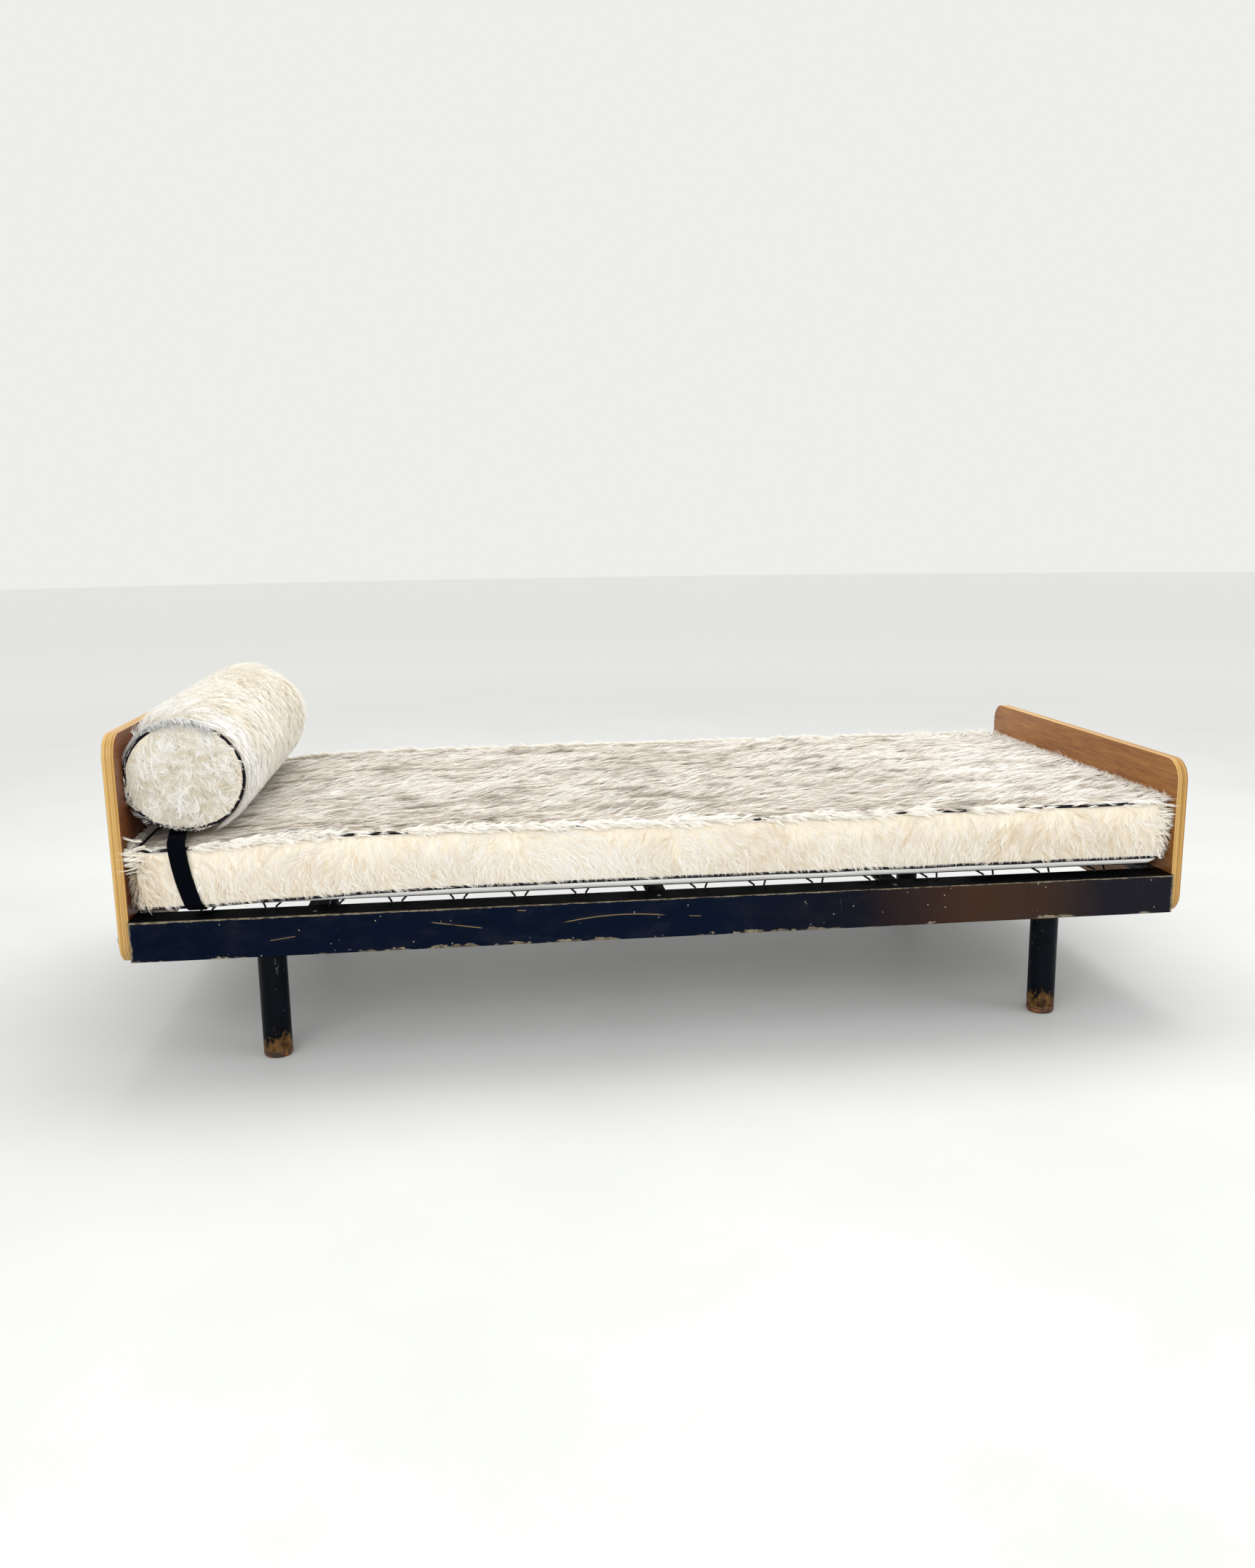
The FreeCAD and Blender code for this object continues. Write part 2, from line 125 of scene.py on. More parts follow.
class Look:
    """One material's node tree, built from short calls."""

    def __init__(self, name, roughness=0.5, **fixed):
        self.material = bpy.data.materials.new(name)
        self.material.use_nodes = True
        self.tree = self.material.node_tree
        self.shader = self.tree.nodes["Principled BSDF"]
        self.shader.inputs["Roughness"].default_value = roughness
        for socket, value in fixed.items():
            self.shader.inputs[socket.replace("_", " ")].default_value = value
        self.places = self.tree.nodes.new("ShaderNodeTexCoord")

    def node(self, kind, inputs, **settings):
        made = self.tree.nodes.new("ShaderNode" + kind)
        for name, value in settings.items():
            setattr(made, name, value)
        for key, value in inputs.items():
            if isinstance(value, bpy.types.NodeSocket):
                self.tree.links.new(value, made.inputs[key])
            else:
                made.inputs[key].default_value = value
        return made

    def at(self, stretch=(1, 1, 1), move=(0, 0, 0), source="Object"):
        """Coordinates times stretch: a large number makes a pattern fine in that direction."""
        given = {"Vector": self.places.outputs[source], "Scale": stretch, "Location": move}
        return self.node("Mapping", given).outputs[0]

    def noise(
        self, scale, stretch=(1, 1, 1), detail=3.0, rough=0.55, move=(0, 0, 0), source="Object"
    ):
        given = {"Vector": self.at(stretch, move, source), "Scale": scale, "Detail": detail}
        given["Roughness"] = rough
        return self.node("TexNoise", given).outputs["Fac"]

    def spots(self, scale, stretch=(1, 1, 1), move=(0, 0, 0)):
        """Distance from the nearest of many scattered points."""
        given = {"Vector": self.at(stretch, move), "Scale": scale}
        return self.node("TexVoronoi", given).outputs["Distance"]

    def axis(self, name, source="Object"):
        return self.node("SeparateXYZ", {0: self.places.outputs[source]}).outputs[name]

    def maths(self, operation, *values):
        return self.node("Math", dict(enumerate(values)), operation=operation).outputs[0]

    def times(self, first, second):
        return self.maths("MULTIPLY", first, second)

    def plus(self, first, second):
        return self.maths("ADD", first, second)

    def minus(self, first, second):
        return self.maths("SUBTRACT", first, second)

    def absolute(self, value):
        return self.maths("ABSOLUTE", value)

    def between(self, value, low, high):
        """low where the value is 0, and high where it is 1."""
        return self.node("MapRange", {"Value": value, "To Min": low, "To Max": high}).outputs["Result"]

    def step(self, value, low, high):
        """0 at low, 1 at high, smooth between. low may be above high."""
        given = {"Value": value, "From Min": low, "From Max": high}
        return self.node("MapRange", given, interpolation_type="SMOOTHSTEP").outputs["Result"]

    def ramp(self, value, *stops):
        made = self.node("ValToRGB", {"Fac": value})
        elements = made.color_ramp.elements
        while len(elements) < len(stops):
            elements.new(0.5)
        for element, (place, colour) in zip(elements, stops):
            element.position = place
            element.color = colour
        return made.outputs["Color"]

    def mix(self, share, first, second, blend="MIX"):
        made = self.node("Mix", {0: share, 6: first, 7: second}, data_type="RGBA", blend_type=blend)
        return made.outputs[2]

    def attribute(self, name):
        return self.node("Attribute", {}, attribute_name=name).outputs["Fac"]

    def per_island(self):
        return self.node("NewGeometry", {}).outputs["Random Per Island"]

    def finish(self, colour, roughness=None, height=None, depth=0.001, strength=1.0):
        self.tree.links.new(colour, self.shader.inputs["Base Color"])
        if roughness is not None:
            self.tree.links.new(roughness, self.shader.inputs["Roughness"])
        if height is not None:
            given = {"Height": height, "Distance": depth, "Strength": strength}
            bump = self.node("Bump", given)
            self.tree.links.new(bump.outputs[0], self.shader.inputs["Normal"])
        return self.material


def plywood(name, dark, middle, light):
    """Brown veneer on the faces, and pale plies round the rim."""
    look = Look(name, Specular_IOR_Level=0.3, Coat_Weight=0.08, Coat_Roughness=0.3)
    facing = look.absolute(look.axis("X", "Normal"))
    on_face = look.step(facing, 0.62, 0.8)
    grain = look.noise(9.0, (1, 1.2, 22), 6, 0.65)
    pores = look.noise(60.0, (1, 0.7, 14), 3, 0.6)
    cloud = look.noise(4.0, (1, 1, 2.5), 2)
    face = look.ramp(grain, (0.30, dark), (0.52, middle), (0.72, light))
    face = look.mix(look.step(pores, 0.58, 0.72), face, paint(92, 52, 18))
    face = look.mix(look.step(cloud, 0.35, 0.75), face, look.mix(0.16, face, paint(190, 138, 78)))
    plies = look.noise(640.0, (1, 0.0012, 0.0012), 2, 0.5)
    thread = look.noise(900.0, (1, 0.003, 0.003), 2, 0.5, (3, 1, 2))
    rim = look.ramp(
        plies, (0.36, paint(140, 98, 42)), (0.47, paint(182, 140, 72)), (0.62, paint(206, 170, 106))
    )
    rim = look.mix(look.step(thread, 0.56, 0.66), rim, paint(146, 104, 50))
    stain = look.noise(7.0, (1, 1, 1), 4)
    rim = look.mix(look.step(stain, 0.5, 0.75), rim, look.mix(0.3, rim, paint(170, 118, 56)))
    colour = look.mix(on_face, rim, face)
    roughness = look.between(grain, 0.5, 0.36)
    height = look.mix(on_face, plies, grain)
    return look.finish(colour, roughness, height, 0.0004, 0.5)


FOOT_EDGE = 0.0105


def foot_wood():
    """Dark worn wood with dirt in it and a dark line round its lower edge."""
    look = Look("foot_wood")
    grain = look.noise(30.0, (6, 6, 0.8), 5, 0.6)
    colour = look.ramp(
        grain, (0.3, paint(48, 26, 10)), (0.52, paint(104, 62, 26)), (0.7, paint(152, 92, 40))
    )
    dirt = look.noise(55.0, detail=4)
    colour = look.mix(look.step(dirt, 0.5, 0.62), colour, paint(44, 28, 16))
    rim = look.absolute(look.minus(look.axis("Z"), FOOT_EDGE))
    colour = look.mix(look.step(rim, 0.0011, 0.0004), colour, paint(30, 18, 10))
    return look.finish(colour, look.step(dirt, 1.3, -0.2), grain, 0.0006, 0.6)


# Long thin scratches on the rails. Each has a start and an end, as x and the share of the rail's
# height down from its top, its upward bow as a share of that height, and half its width.
SCRATCHES = (
    ((-0.427, 0.33), (-0.336, 0.54), 0.0, 0.0011),
    ((-0.199, 0.50), (-0.015, 0.43), 0.105, 0.0011),
    ((-0.277, 0.13), (-0.261, 0.15), 0.0, 0.001),
    ((0.025, 0.47), (0.048, 0.49), 0.0, 0.0008),
    ((0.300, 0.20), (0.303, 0.62), 0.0, 0.0008),
    ((-0.700, 0.60), (-0.655, 0.52), 0.0, 0.0008),
)
# One dark line in the same form: a painted shadow across the rail's front.
SHADOW_LINE = ((-0.402, 0.42), (-0.310, 0.33), -0.03, 0.0016)
RAIL_SEAM = 0.652


def scratch_and_shadow_line(look, low, high, start, end, bow, width):
    """1 on a thin line across a rail's front, bowed up in its middle."""
    tall = high.z - low.z
    start_height, end_height = high.z - start[1] * tall, high.z - end[1] * tall
    along = look.maths("DIVIDE", look.minus(look.axis("X"), start[0]), end[0] - start[0])
    left = look.minus(1.0, along)
    arch = look.times(look.times(along, left), 4 * bow * tall)
    level = look.plus(look.times(along, end_height - start_height), arch)
    off = look.minus(look.minus(look.axis("Z"), start_height), level)
    ends = look.step(look.maths("MINIMUM", along, left), 0.0, 0.08)
    return look.times(look.step(look.absolute(off), width, width * 0.3), ends)


def rail_wear(look, low, high):
    """1 where the paint is gone: ragged along a rail's upper and lower edges and at its ends."""
    side, height = look.axis("X"), look.axis("Z")
    ragged = look.times(look.noise(70.0, (0.5, 1, 1), 5, 0.7, (1, 5, 2)), 0.0068)
    near_head = look.step(side, low.x + 0.95, low.x)
    reach = look.minus(ragged, look.times(look.minus(1.0, near_head), 0.0012))
    from_top = look.minus(high.z - 0.0022, height)
    top = look.step(look.minus(from_top, reach), -0.0012, -0.0026)
    patches = look.noise(22.0, (0.45, 1, 1), 5, 0.72, (7, 2, 3))
    reach = look.times(look.step(patches, 0.47, 0.62), 0.0075)
    from_bottom = look.minus(height, low.z - 0.0002)
    bottom = look.step(look.minus(from_bottom, reach), 0.0005, -0.0006)
    from_end = look.maths("MINIMUM", look.minus(side, low.x), look.minus(high.x, side))
    reach = look.times(look.noise(45.0, (1, 1, 0.6), 5, 0.7, (2, 8, 5)), 0.012)
    ends = look.step(look.minus(from_end, reach), -0.0018, -0.0042)
    front = look.step(look.absolute(look.axis("Y", "Normal")), 0.2, 0.5)
    return look.times(look.maths("MAXIMUM", look.maths("MAXIMUM", top, bottom), ends), front)


def rail_paint():
    """Satin blue-black paint with a brown worn zone, chipped edges, scratches and specks, a painted
    shadow line across the front and painted shade on the top faces.
    """
    look = Look("rail_paint", Specular_IOR_Level=0.03)
    low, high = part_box("front_rail")
    side = look.axis("X")
    share = look.node("MapRange", {"Value": side, "From Min": low.x, "From Max": high.x}).outputs[0]
    wander = look.minus(look.noise(6.0, (1, 1, 1.6), 4, 0.6), 0.5)
    colour = look.ramp(
        look.plus(share, look.times(wander, 0.05)),
        (0.00, paint(3, 12, 30)), (0.55, paint(5, 16, 34)), (0.68, paint(17, 18, 28)),
        (0.80, paint(60, 42, 32)), (0.87, paint(54, 40, 33)), (0.93, paint(27, 27, 34)),
    )
    cloud = look.noise(14.0, (1, 1, 2), 5, 0.65, (4, 0, 1))
    dull = look.mix(0.16, colour, paint(58, 56, 60))
    colour = look.mix(look.step(cloud, 0.45, 0.75), colour, dull)
    wear = rail_wear(look, low, high)
    worn = look.ramp(look.noise(90.0, detail=3), (0.35, paint(76, 68, 60)), (0.6, paint(134, 124, 104)))
    colour = look.mix(wear, colour, worn)
    for line in SCRATCHES:
        shown = look.times(scratch_and_shadow_line(look, low, high, *line), 0.75)
        colour = look.mix(shown, colour, paint(150, 128, 90))
    # The painted shadow line, in near-black.
    shown = look.times(scratch_and_shadow_line(look, low, high, *SHADOW_LINE), 0.6)
    colour = look.mix(shown, colour, paint(1, 5, 14))
    seams = look.step(look.absolute(look.minus(look.absolute(side), RAIL_SEAM)), 0.0011, 0.0003)
    broken = look.step(look.noise(24.0, (1, 1, 1), 3, 0.6, (1, 1, 9)), 0.42, 0.52)
    colour = look.mix(look.times(look.times(seams, broken), 0.75), colour, paint(14, 10, 10))
    sparse = look.step(look.noise(9.0, (1, 1, 1), 2, 0.5, (5, 5, 5)), 0.36, 0.52)
    specks = look.times(look.step(look.spots(66.0, (1, 1, 0.8)), 0.082, 0.06), sparse)
    colour = look.mix(look.times(specks, 0.7), colour, paint(176, 168, 146))
    chips = look.step(look.noise(30.0, (1, 1, 1), 4, 0.7, (8, 3, 6)), 0.735, 0.75)
    colour = look.mix(chips, colour, paint(168, 152, 122))
    # Painted shade: the rail's upward faces, which lie under the mattress, are painted near-black.
    shaded_rail_top = look.step(look.axis("Z", "Normal"), 0.5, 0.9)
    colour = look.mix(shaded_rail_top, colour, paint(9, 10, 12))
    return look.finish(colour, look.between(cloud, 0.3, 0.5), look.minus(cloud, wear), 0.0004, 0.35)


def leg_paint():
    """Blue-black paint, worn to bronze at the foot."""
    look = Look("leg_paint", Specular_IOR_Level=0.06)
    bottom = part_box("leg_front_head")[0].z
    cloud = look.noise(22.0, (1, 1, 0.6), 4, 0.6)
    colour = look.ramp(cloud, (0.35, paint(3, 6, 9)), (0.65, paint(8, 14, 22)))
    ragged = look.noise(60.0, (1, 1, 0.7), 5, 0.7)
    reach = look.times(look.step(ragged, 0.3, 0.75), 0.052)
    gone = look.step(look.minus(look.axis("Z"), reach), bottom + 0.008, bottom - 0.003)
    metal = look.ramp(look.noise(80.0, detail=4), (0.35, paint(46, 32, 20)), (0.62, paint(104, 76, 44)))
    colour = look.mix(gone, colour, metal)
    streaks = look.noise(34.0, (1, 1, 0.16), 3, 0.6, (3, 2, 0))
    marks = look.times(look.step(streaks, 0.62, 0.7), look.step(ragged, 0.5, 0.62))
    colour = look.mix(look.times(marks, 0.6), colour, paint(112, 112, 108))
    specks = look.step(look.spots(95.0), 0.07, 0.05)
    colour = look.mix(look.times(specks, 0.6), colour, paint(150, 142, 124))
    return look.finish(colour, look.between(cloud, 0.24, 0.42), look.minus(cloud, gone), 0.0004, 0.4)


def frame_paint():
    """Black paint with a little rust."""
    look = Look("frame_paint", Specular_IOR_Level=0.2)
    cloud = look.noise(30.0, detail=5, rough=0.65)
    colour = look.ramp(cloud, (0.35, paint(5, 6, 7)), (0.7, paint(20, 20, 21)))
    rust = look.step(look.noise(48.0, (1, 1, 1), 5, 0.7, (4, 4, 1)), 0.66, 0.76)
    colour = look.mix(rust, colour, paint(70, 50, 36))
    return look.finish(colour, look.step(cloud, 1.2, -0.1), cloud, 0.0004, 0.4)


def black_wire():
    look = Look("black_wire", Specular_IOR_Level=0.3)
    cloud = look.noise(120.0, detail=3)
    colour = look.ramp(cloud, (0.4, paint(4, 4, 5)), (0.68, paint(20, 18, 17)))
    return look.finish(colour, look.step(cloud, 1.1, -0.2), cloud, 0.0003, 0.3)


def zinc():
    """Dull plated steel with spots of rust."""
    look = Look("zinc_fixings", Metallic=1.0)
    cloud = look.noise(140.0, detail=4)
    colour = look.ramp(cloud, (0.35, paint(122, 120, 114)), (0.65, paint(178, 176, 168)))
    rust = look.step(look.noise(210.0, detail=3, move=(2, 2, 2)), 0.62, 0.72)
    colour = look.mix(rust, colour, paint(112, 84, 60))
    return look.finish(colour, look.step(cloud, -0.1, 1.6), cloud, 0.0002, 0.3)


def webbing():
    """Navy webbing: ribs across it and a tighter line at each edge. UV is in metres."""
    look = Look("webbing", 0.8, Specular_IOR_Level=0.04)

    def wave(stretch, scale, distortion):
        given = {"Vector": look.at(stretch, source="UV"), "Scale": scale, "Distortion": distortion}
        return look.node("TexWave", given).outputs["Fac"]

    weave = look.times(wave((0, 1, 0), 210.0, 0.3), wave((1, 0, 0), 190.0, 0.2))
    colour = look.ramp(weave, (0.0, paint(1, 3, 8)), (0.9, paint(6, 12, 24)))
    worn = look.step(look.noise(40.0, detail=4), 0.6, 0.8)
    colour = look.mix(look.times(worn, 0.3), colour, paint(24, 32, 46))
    return look.finish(colour, None, weave, 0.0008, 0.8)


def piping_cloth():
    """Black twisted cord."""
    look = Look("piping", 0.8, Specular_IOR_Level=0.15)
    twist = look.noise(420.0, (1, 1, 1), 2, 0.5)
    cloud = look.noise(25.0, detail=3)
    colour = look.ramp(twist, (0.35, paint(6, 4, 10)), (0.65, paint(24, 18, 30)))
    colour = look.mix(look.step(cloud, 0.55, 0.75), colour, paint(34, 28, 38))
    return look.finish(colour, None, twist, 0.0008, 0.8)


def ticking():
    """The plain white cloth under the mattress."""
    look = Look("ticking", 0.85, Sheen_Weight=0.15)
    threads = look.noise(900.0, (1, 1, 1), 2, 0.5)
    folds = look.noise(16.0, (0.5, 1, 1), 4, 0.6)
    colour = look.ramp(folds, (0.3, paint(232, 230, 226)), (0.6, paint(250, 249, 247)))
    colour = look.mix(look.step(threads, 0.5, 0.8), colour, paint(236, 234, 230))
    return look.finish(colour, None, folds, 0.003, 0.5)


def skin(name, dark, light, stretch):
    """The hide under the hair: streaks that run with the hair."""
    look = Look(name, 0.9)
    streaks = look.noise(70.0, stretch, 5, 0.7)
    patches = look.noise(9.0, detail=4)
    colour = look.ramp(streaks, (0.35, dark), (0.65, light))
    colour = look.mix(look.step(patches, 0.4, 0.7), colour, look.mix(0.5, colour, dark))
    return look.finish(colour, None, streaks, 0.004, 0.9)


TRANSLUCENCE = 0.28


def hair(name, white, middle, dark, root, contrast):
    """Hair whose colour follows the tone of its lock, with painted self-shadow darkening it at the root,
    and paler at the tip.

    UV runs across a hair in U and from its root to its tip in V.
    """
    look = Look(name, 0.55, Sheen_Weight=0.25, Sheen_Roughness=0.4, Specular_IOR_Level=0.35)
    own = look.times(look.minus(look.per_island(), 0.5), contrast)
    streak = look.noise(1.0, (3.0, 0.8, 1), 3, 0.6, source="UV")
    tone = look.plus(look.attribute("tone"), own)
    tone = look.plus(tone, look.times(look.minus(streak, 0.5), 0.8 * contrast))
    colour = look.ramp(tone, (0.08, white), (0.5, middle), (0.95, dark))
    along = look.axis("Y", "UV")
    # Painted self-shadow: each hair is mixed towards the root colour near its base.
    colour = look.mix(look.step(along, 0.4, 0.0), colour, look.mix(0.45, colour, root))
    colour = look.mix(look.step(along, 0.6, 1.0), colour, look.mix(0.35, colour, white))
    through = look.node("BsdfTranslucent", {"Color": colour}).outputs[0]
    both = look.node("MixShader", {0: TRANSLUCENCE, 1: look.shader.outputs[0], 2: through}).outputs[0]
    look.tree.links.new(both, look.tree.nodes["Material Output"].inputs["Surface"])
    return look.finish(colour)


LOOKS = {
    "plywood": plywood("plywood", paint(112, 66, 22), paint(142, 90, 34), paint(166, 112, 48)),
    "foot_wood": foot_wood(),
    "leg_paint": leg_paint(),
    "rail_paint": rail_paint(),
    "frame_paint": frame_paint(),
    "black_wire": black_wire(),
    "zinc_fixings": zinc(),
    "webbing": webbing(),
    "piping": piping_cloth(),
}
# A darker, redder copy of the plywood for the head board: painted shade for its inner face, which lies in
# shade beside the bolster.
SHADED_HEAD_PLYWOOD = plywood("plywood_head_painted_shade", paint(74, 34, 16), paint(104, 54, 26), paint(132, 74, 38))
TICKING = ticking()
TOP_SKIN = skin("hide_skin_top", paint(176, 162, 146), paint(214, 206, 194), (0.25, 1.2, 1))
SIDE_SKIN = skin("hide_skin_side", paint(232, 219, 197), paint(246, 239, 224), (1.2, 1, 0.3))
# In each hair look, root is the colour of the painted self-shadow at the hair's base.
TOP_HAIR = hair(
    "hide_hair_top",
    white=paint(254, 253, 251),
    middle=paint(235, 231, 222),
    dark=paint(150, 136, 120),
    root=paint(202, 193, 179),
    contrast=0.34,
)
SIDE_HAIR = hair(
    "hide_hair_side",
    white=paint(255, 253, 248),
    middle=paint(251, 245, 233),
    dark=paint(236, 221, 196),
    root=paint(234, 221, 198),
    contrast=0.3,
)
BOLSTER_HAIR = hair(
    "hide_hair_bolster",
    white=paint(255, 255, 254),
    middle=paint(250, 247, 238),
    dark=paint(222, 212, 190),
    root=paint(224, 216, 198),
    contrast=0.36,
)

for part in frame["record"]["subparts"]:
    # The head panel takes the plywood copy with painted shade.
    look = SHADED_HEAD_PLYWOOD if part["node"] == "head_panel" else LOOKS.get(part["material_slot"])
    if look:
        for used in frame["nodes"][part["node"]].material_slots:
            used.material = look


# Meshes

def mesh_piece(name, points, quads, body, materials, uv=None):
    """A piece from an array of points and an array of four-cornered faces."""
    mesh = bpy.data.meshes.new(name)
    corners = np.ascontiguousarray(quads, dtype=np.int32).reshape(-1)
    mesh.vertices.add(len(points))
    mesh.vertices.foreach_set("co", np.asarray(points, dtype=np.float32).ravel())
    mesh.loops.add(len(corners))
    mesh.loops.foreach_set("vertex_index", corners)
    mesh.polygons.add(len(corners) // 4)
    mesh.polygons.foreach_set("loop_start", np.arange(0, len(corners), 4, dtype=np.int32))
    mesh.update(calc_edges=True)
    mesh.polygons.foreach_set("use_smooth", np.full(len(mesh.polygons), True))
    if uv is not None:
        layer = mesh.uv_layers.new(name="UVMap")
        layer.data.foreach_set("uv", np.asarray(uv, dtype=np.float32)[corners].ravel())
    for material in materials:
        mesh.materials.append(material)
    piece = link(name, mesh)
    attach(piece, body)
    return piece


def ring_quads(rings, around, close_rings=False):
    """Faces between neighbouring rings of points, each ring closed on itself."""
    last = rings if close_rings else rings - 1
    r = np.arange(last)[:, None]
    a = np.arange(around)[None, :]
    after = (a + 1) % around
    above = (r + 1) % rings
    corners = [r * around + a, r * around + after, above * around + after, above * around + a]
    return np.stack([c + 0 * a + 0 * r for c in corners], axis=-1).reshape(-1, 4)


def unit(vectors):
    return vectors / np.maximum(np.linalg.norm(vectors, axis=-1, keepdims=True), 1e-9)


def ease(value):
    """0 below 0, 1 above 1, smooth between."""
    t = np.clip(value, 0.0, 1.0)
    return t * t * (3.0 - 2.0 * t)


def field(seed, cell):
    """A smooth random function of two coordinates, from -1 to 1, in lumps about cell wide."""
    cells = 97
    grid = np.random.default_rng(seed).uniform(-1.0, 1.0, (cells, cells))

    def value(u, v):
        u, v = np.asarray(u) / cell, np.asarray(v) / cell
        i, j = np.floor(u).astype(int), np.floor(v).astype(int)
        a, b = ease(u - i), ease(v - j)
        low = grid[i % cells, j % cells] * (1 - a) + grid[(i + 1) % cells, j % cells] * a
        high = grid[i % cells, (j + 1) % cells] * (1 - a) + grid[(i + 1) % cells, (j + 1) % cells] * a
        return low * (1 - b) + high * b

    return value


TUBE_SIDES = 10


def tube(name, path, body):
    """Piping along a closed path of points."""
    ahead = unit(np.roll(path, -1, axis=0) - np.roll(path, 1, axis=0))
    first = np.array([0.0, 1.0, 0.0]) if abs(ahead[:, 2]).max() > 0.5 else Z_AXIS
    out = unit(np.cross(ahead, first))
    up = np.cross(out, ahead)
    turn = np.linspace(0.0, 2 * math.pi, TUBE_SIDES, endpoint=False)
    spread = out[:, None] * np.cos(turn)[None, :, None] + up[:, None] * np.sin(turn)[None, :, None]
    points = (path[:, None] + spread * PIPING).reshape(-1, 3)
    quads = ring_quads(len(path), TUBE_SIDES, True)
    return mesh_piece(name, points, quads, body, [LOOKS["piping"]])


# Hair

def locks(name, base, body, material, seed, strands=6, steps=4):
    """Locks of hair as thin tapered ribbons that come together at each lock's tip.

    base holds a row for each lock, or one value for them all: root, normal and flow (vectors),
    length, rise, curl, spread, width, tone, and bend, the surface's curvature along the flow,
    which is 0 where it is left out.
    """
    rng = np.random.default_rng(seed)
    count = len(base["root"])
    total = count * strands

    def each(key):
        values = np.asarray(base.get(key, 0.0), dtype=float)
        return np.repeat(values if values.ndim else np.full(count, values), strands, axis=0)

    normal = unit(each("normal"))
    flow = each("flow")
    flow = unit(flow - normal * np.sum(flow * normal, axis=1, keepdims=True))
    across = np.cross(flow, normal)
    length = each("length") * rng.uniform(0.78, 1.12, total)
    rise = each("rise") * rng.uniform(0.75, 1.25, total)
    wave = np.repeat(rng.uniform(0, 2 * math.pi, count), strands) + rng.normal(0, 0.35, total)
    turns = np.repeat(rng.uniform(0.35, 0.95, count), strands)
    angle = rng.uniform(0, 2 * math.pi, total)
    off = np.sqrt(rng.uniform(0, 1, total)) * each("spread")
    stray = rng.uniform(0.15, 0.6, total)
    s = np.linspace(0.0, 1.0, steps + 1)[None, :]
    gather = 1.0 - (1.0 - stray[:, None]) * ease(s * 1.15)
    forward = length[:, None] * s + (off * np.cos(angle))[:, None] * gather
    swing = np.sin(wave[:, None] + 2 * math.pi * turns[:, None] * s) - np.sin(wave)[:, None]
    aside = each("curl")[:, None] * swing * ease(s * 1.3) + (off * np.sin(angle))[:, None] * gather
    fall = 0.5 * each("bend")[:, None] * forward ** 2
    lift = rise[:, None] * (1.7 * s - 1.0 * s * s) - fall
    middle = (
        each("root")[:, None]
        + flow[:, None] * forward[..., None]
        + across[:, None] * aside[..., None]
        + normal[:, None] * lift[..., None]
    )
    ahead = unit(np.gradient(middle, axis=1))
    outward = unit(normal[:, None] - flow[:, None] * (each("bend")[:, None] * forward)[..., None])
    side = unit(np.cross(ahead, outward))
    face = np.cross(side, ahead)
    roll = rng.normal(0.0, 0.25, total)[:, None, None]
    side, face = side * np.cos(roll) + face * np.sin(roll), face * np.cos(roll) - side * np.sin(roll)
    half = 0.5 * (each("width") * rng.uniform(0.7, 1.3, total))[:, None] * (1.0 - 0.94 * s ** 2.2)
    edges = np.stack([middle - side * half[..., None], middle + side * half[..., None]], axis=2)
    points = edges.reshape(-1, 3)
    starts = (np.arange(total) * (steps + 1) * 2)[:, None]
    k = np.arange(steps) * 2
    quads = (starts[..., None] + np.stack([k, k + 1, k + 3, k + 2], axis=1)[None]).reshape(-1, 4)
    shift = rng.uniform(0, 40, total)[:, None]
    u = np.stack([shift + 0 * s, shift + 1 + 0 * s], axis=2).reshape(-1)
    v = np.repeat(np.broadcast_to(s, (total, steps + 1)).reshape(-1), 2)
    piece = mesh_piece(name, points, quads, body, [material], uv=np.stack([u, v], axis=1))
    tone = piece.data.attributes.new("tone", "FLOAT", "POINT")
    tone.data.foreach_set("value", np.repeat(each("tone"), (steps + 1) * 2).astype(np.float32))
    soft = unit(outward * 0.85 + face * 0.45 + rng.normal(0, 0.12, (total, 1, 3)))
    piece.data.normals_split_custom_set_from_vertices(np.repeat(soft.reshape(-1, 3), 2, axis=0))
    return piece


def scatter(rng, u_range, v_range, cell):
    """Points spread evenly but unevenly placed over a rectangle."""
    u = np.arange(u_range[0] + cell / 2, u_range[1], cell)
    v = np.arange(v_range[0] + cell / 2, v_range[1], cell)
    uu, vv = np.meshgrid(u, v)
    jitter = rng.uniform(-0.55, 0.55, (2, uu.size)) * cell
    return uu.ravel() + jitter[0], vv.ravel() + jitter[1]


def chosen(base, keep):
    """The locks for which keep is true."""
    return {key: (value if np.ndim(value) == 0 else value[keep]) for key, value in base.items()}


# Mattress

cover_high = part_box("mattress_cover")[1]
HALF_X = cover_high.x - 0.001
HALF_Y = cover_high.y - 0.001
CORNER = 0.028
SEAM_LOW = 0.299
SEAM_HIGH = 0.400
CROWN = 0.007
PIPING = 0.00275
PIPING_PROUD = 0.0006

soft_lumps = field(3, 0.16)
seam_wander = field(5, 0.09)


def seam_low(x, y):
    """The height of the lower seam, which dips towards the head."""
    return SEAM_LOW - 0.015 * ease((-0.36 - x) / 0.56) + 0.0012 * seam_wander(x, y)


def seam_high(x, y):
    """The height of the upper seam, which dips under the bolster."""
    return SEAM_HIGH - 0.016 * ease((-0.56 - x) / 0.36) + 0.0016 * seam_wander(x + 3, y)


def top_height(x, y):
    """The top panel, crowned inside its seam."""
    inside = np.minimum(HALF_X - np.abs(x), HALF_Y - np.abs(y))
    crown = CROWN * (1.0 - np.exp(-np.maximum(inside, 0.0) / 0.045))
    return seam_high(x, y) + crown + 0.0025 * soft_lumps(x, y) * ease(inside / 0.08)


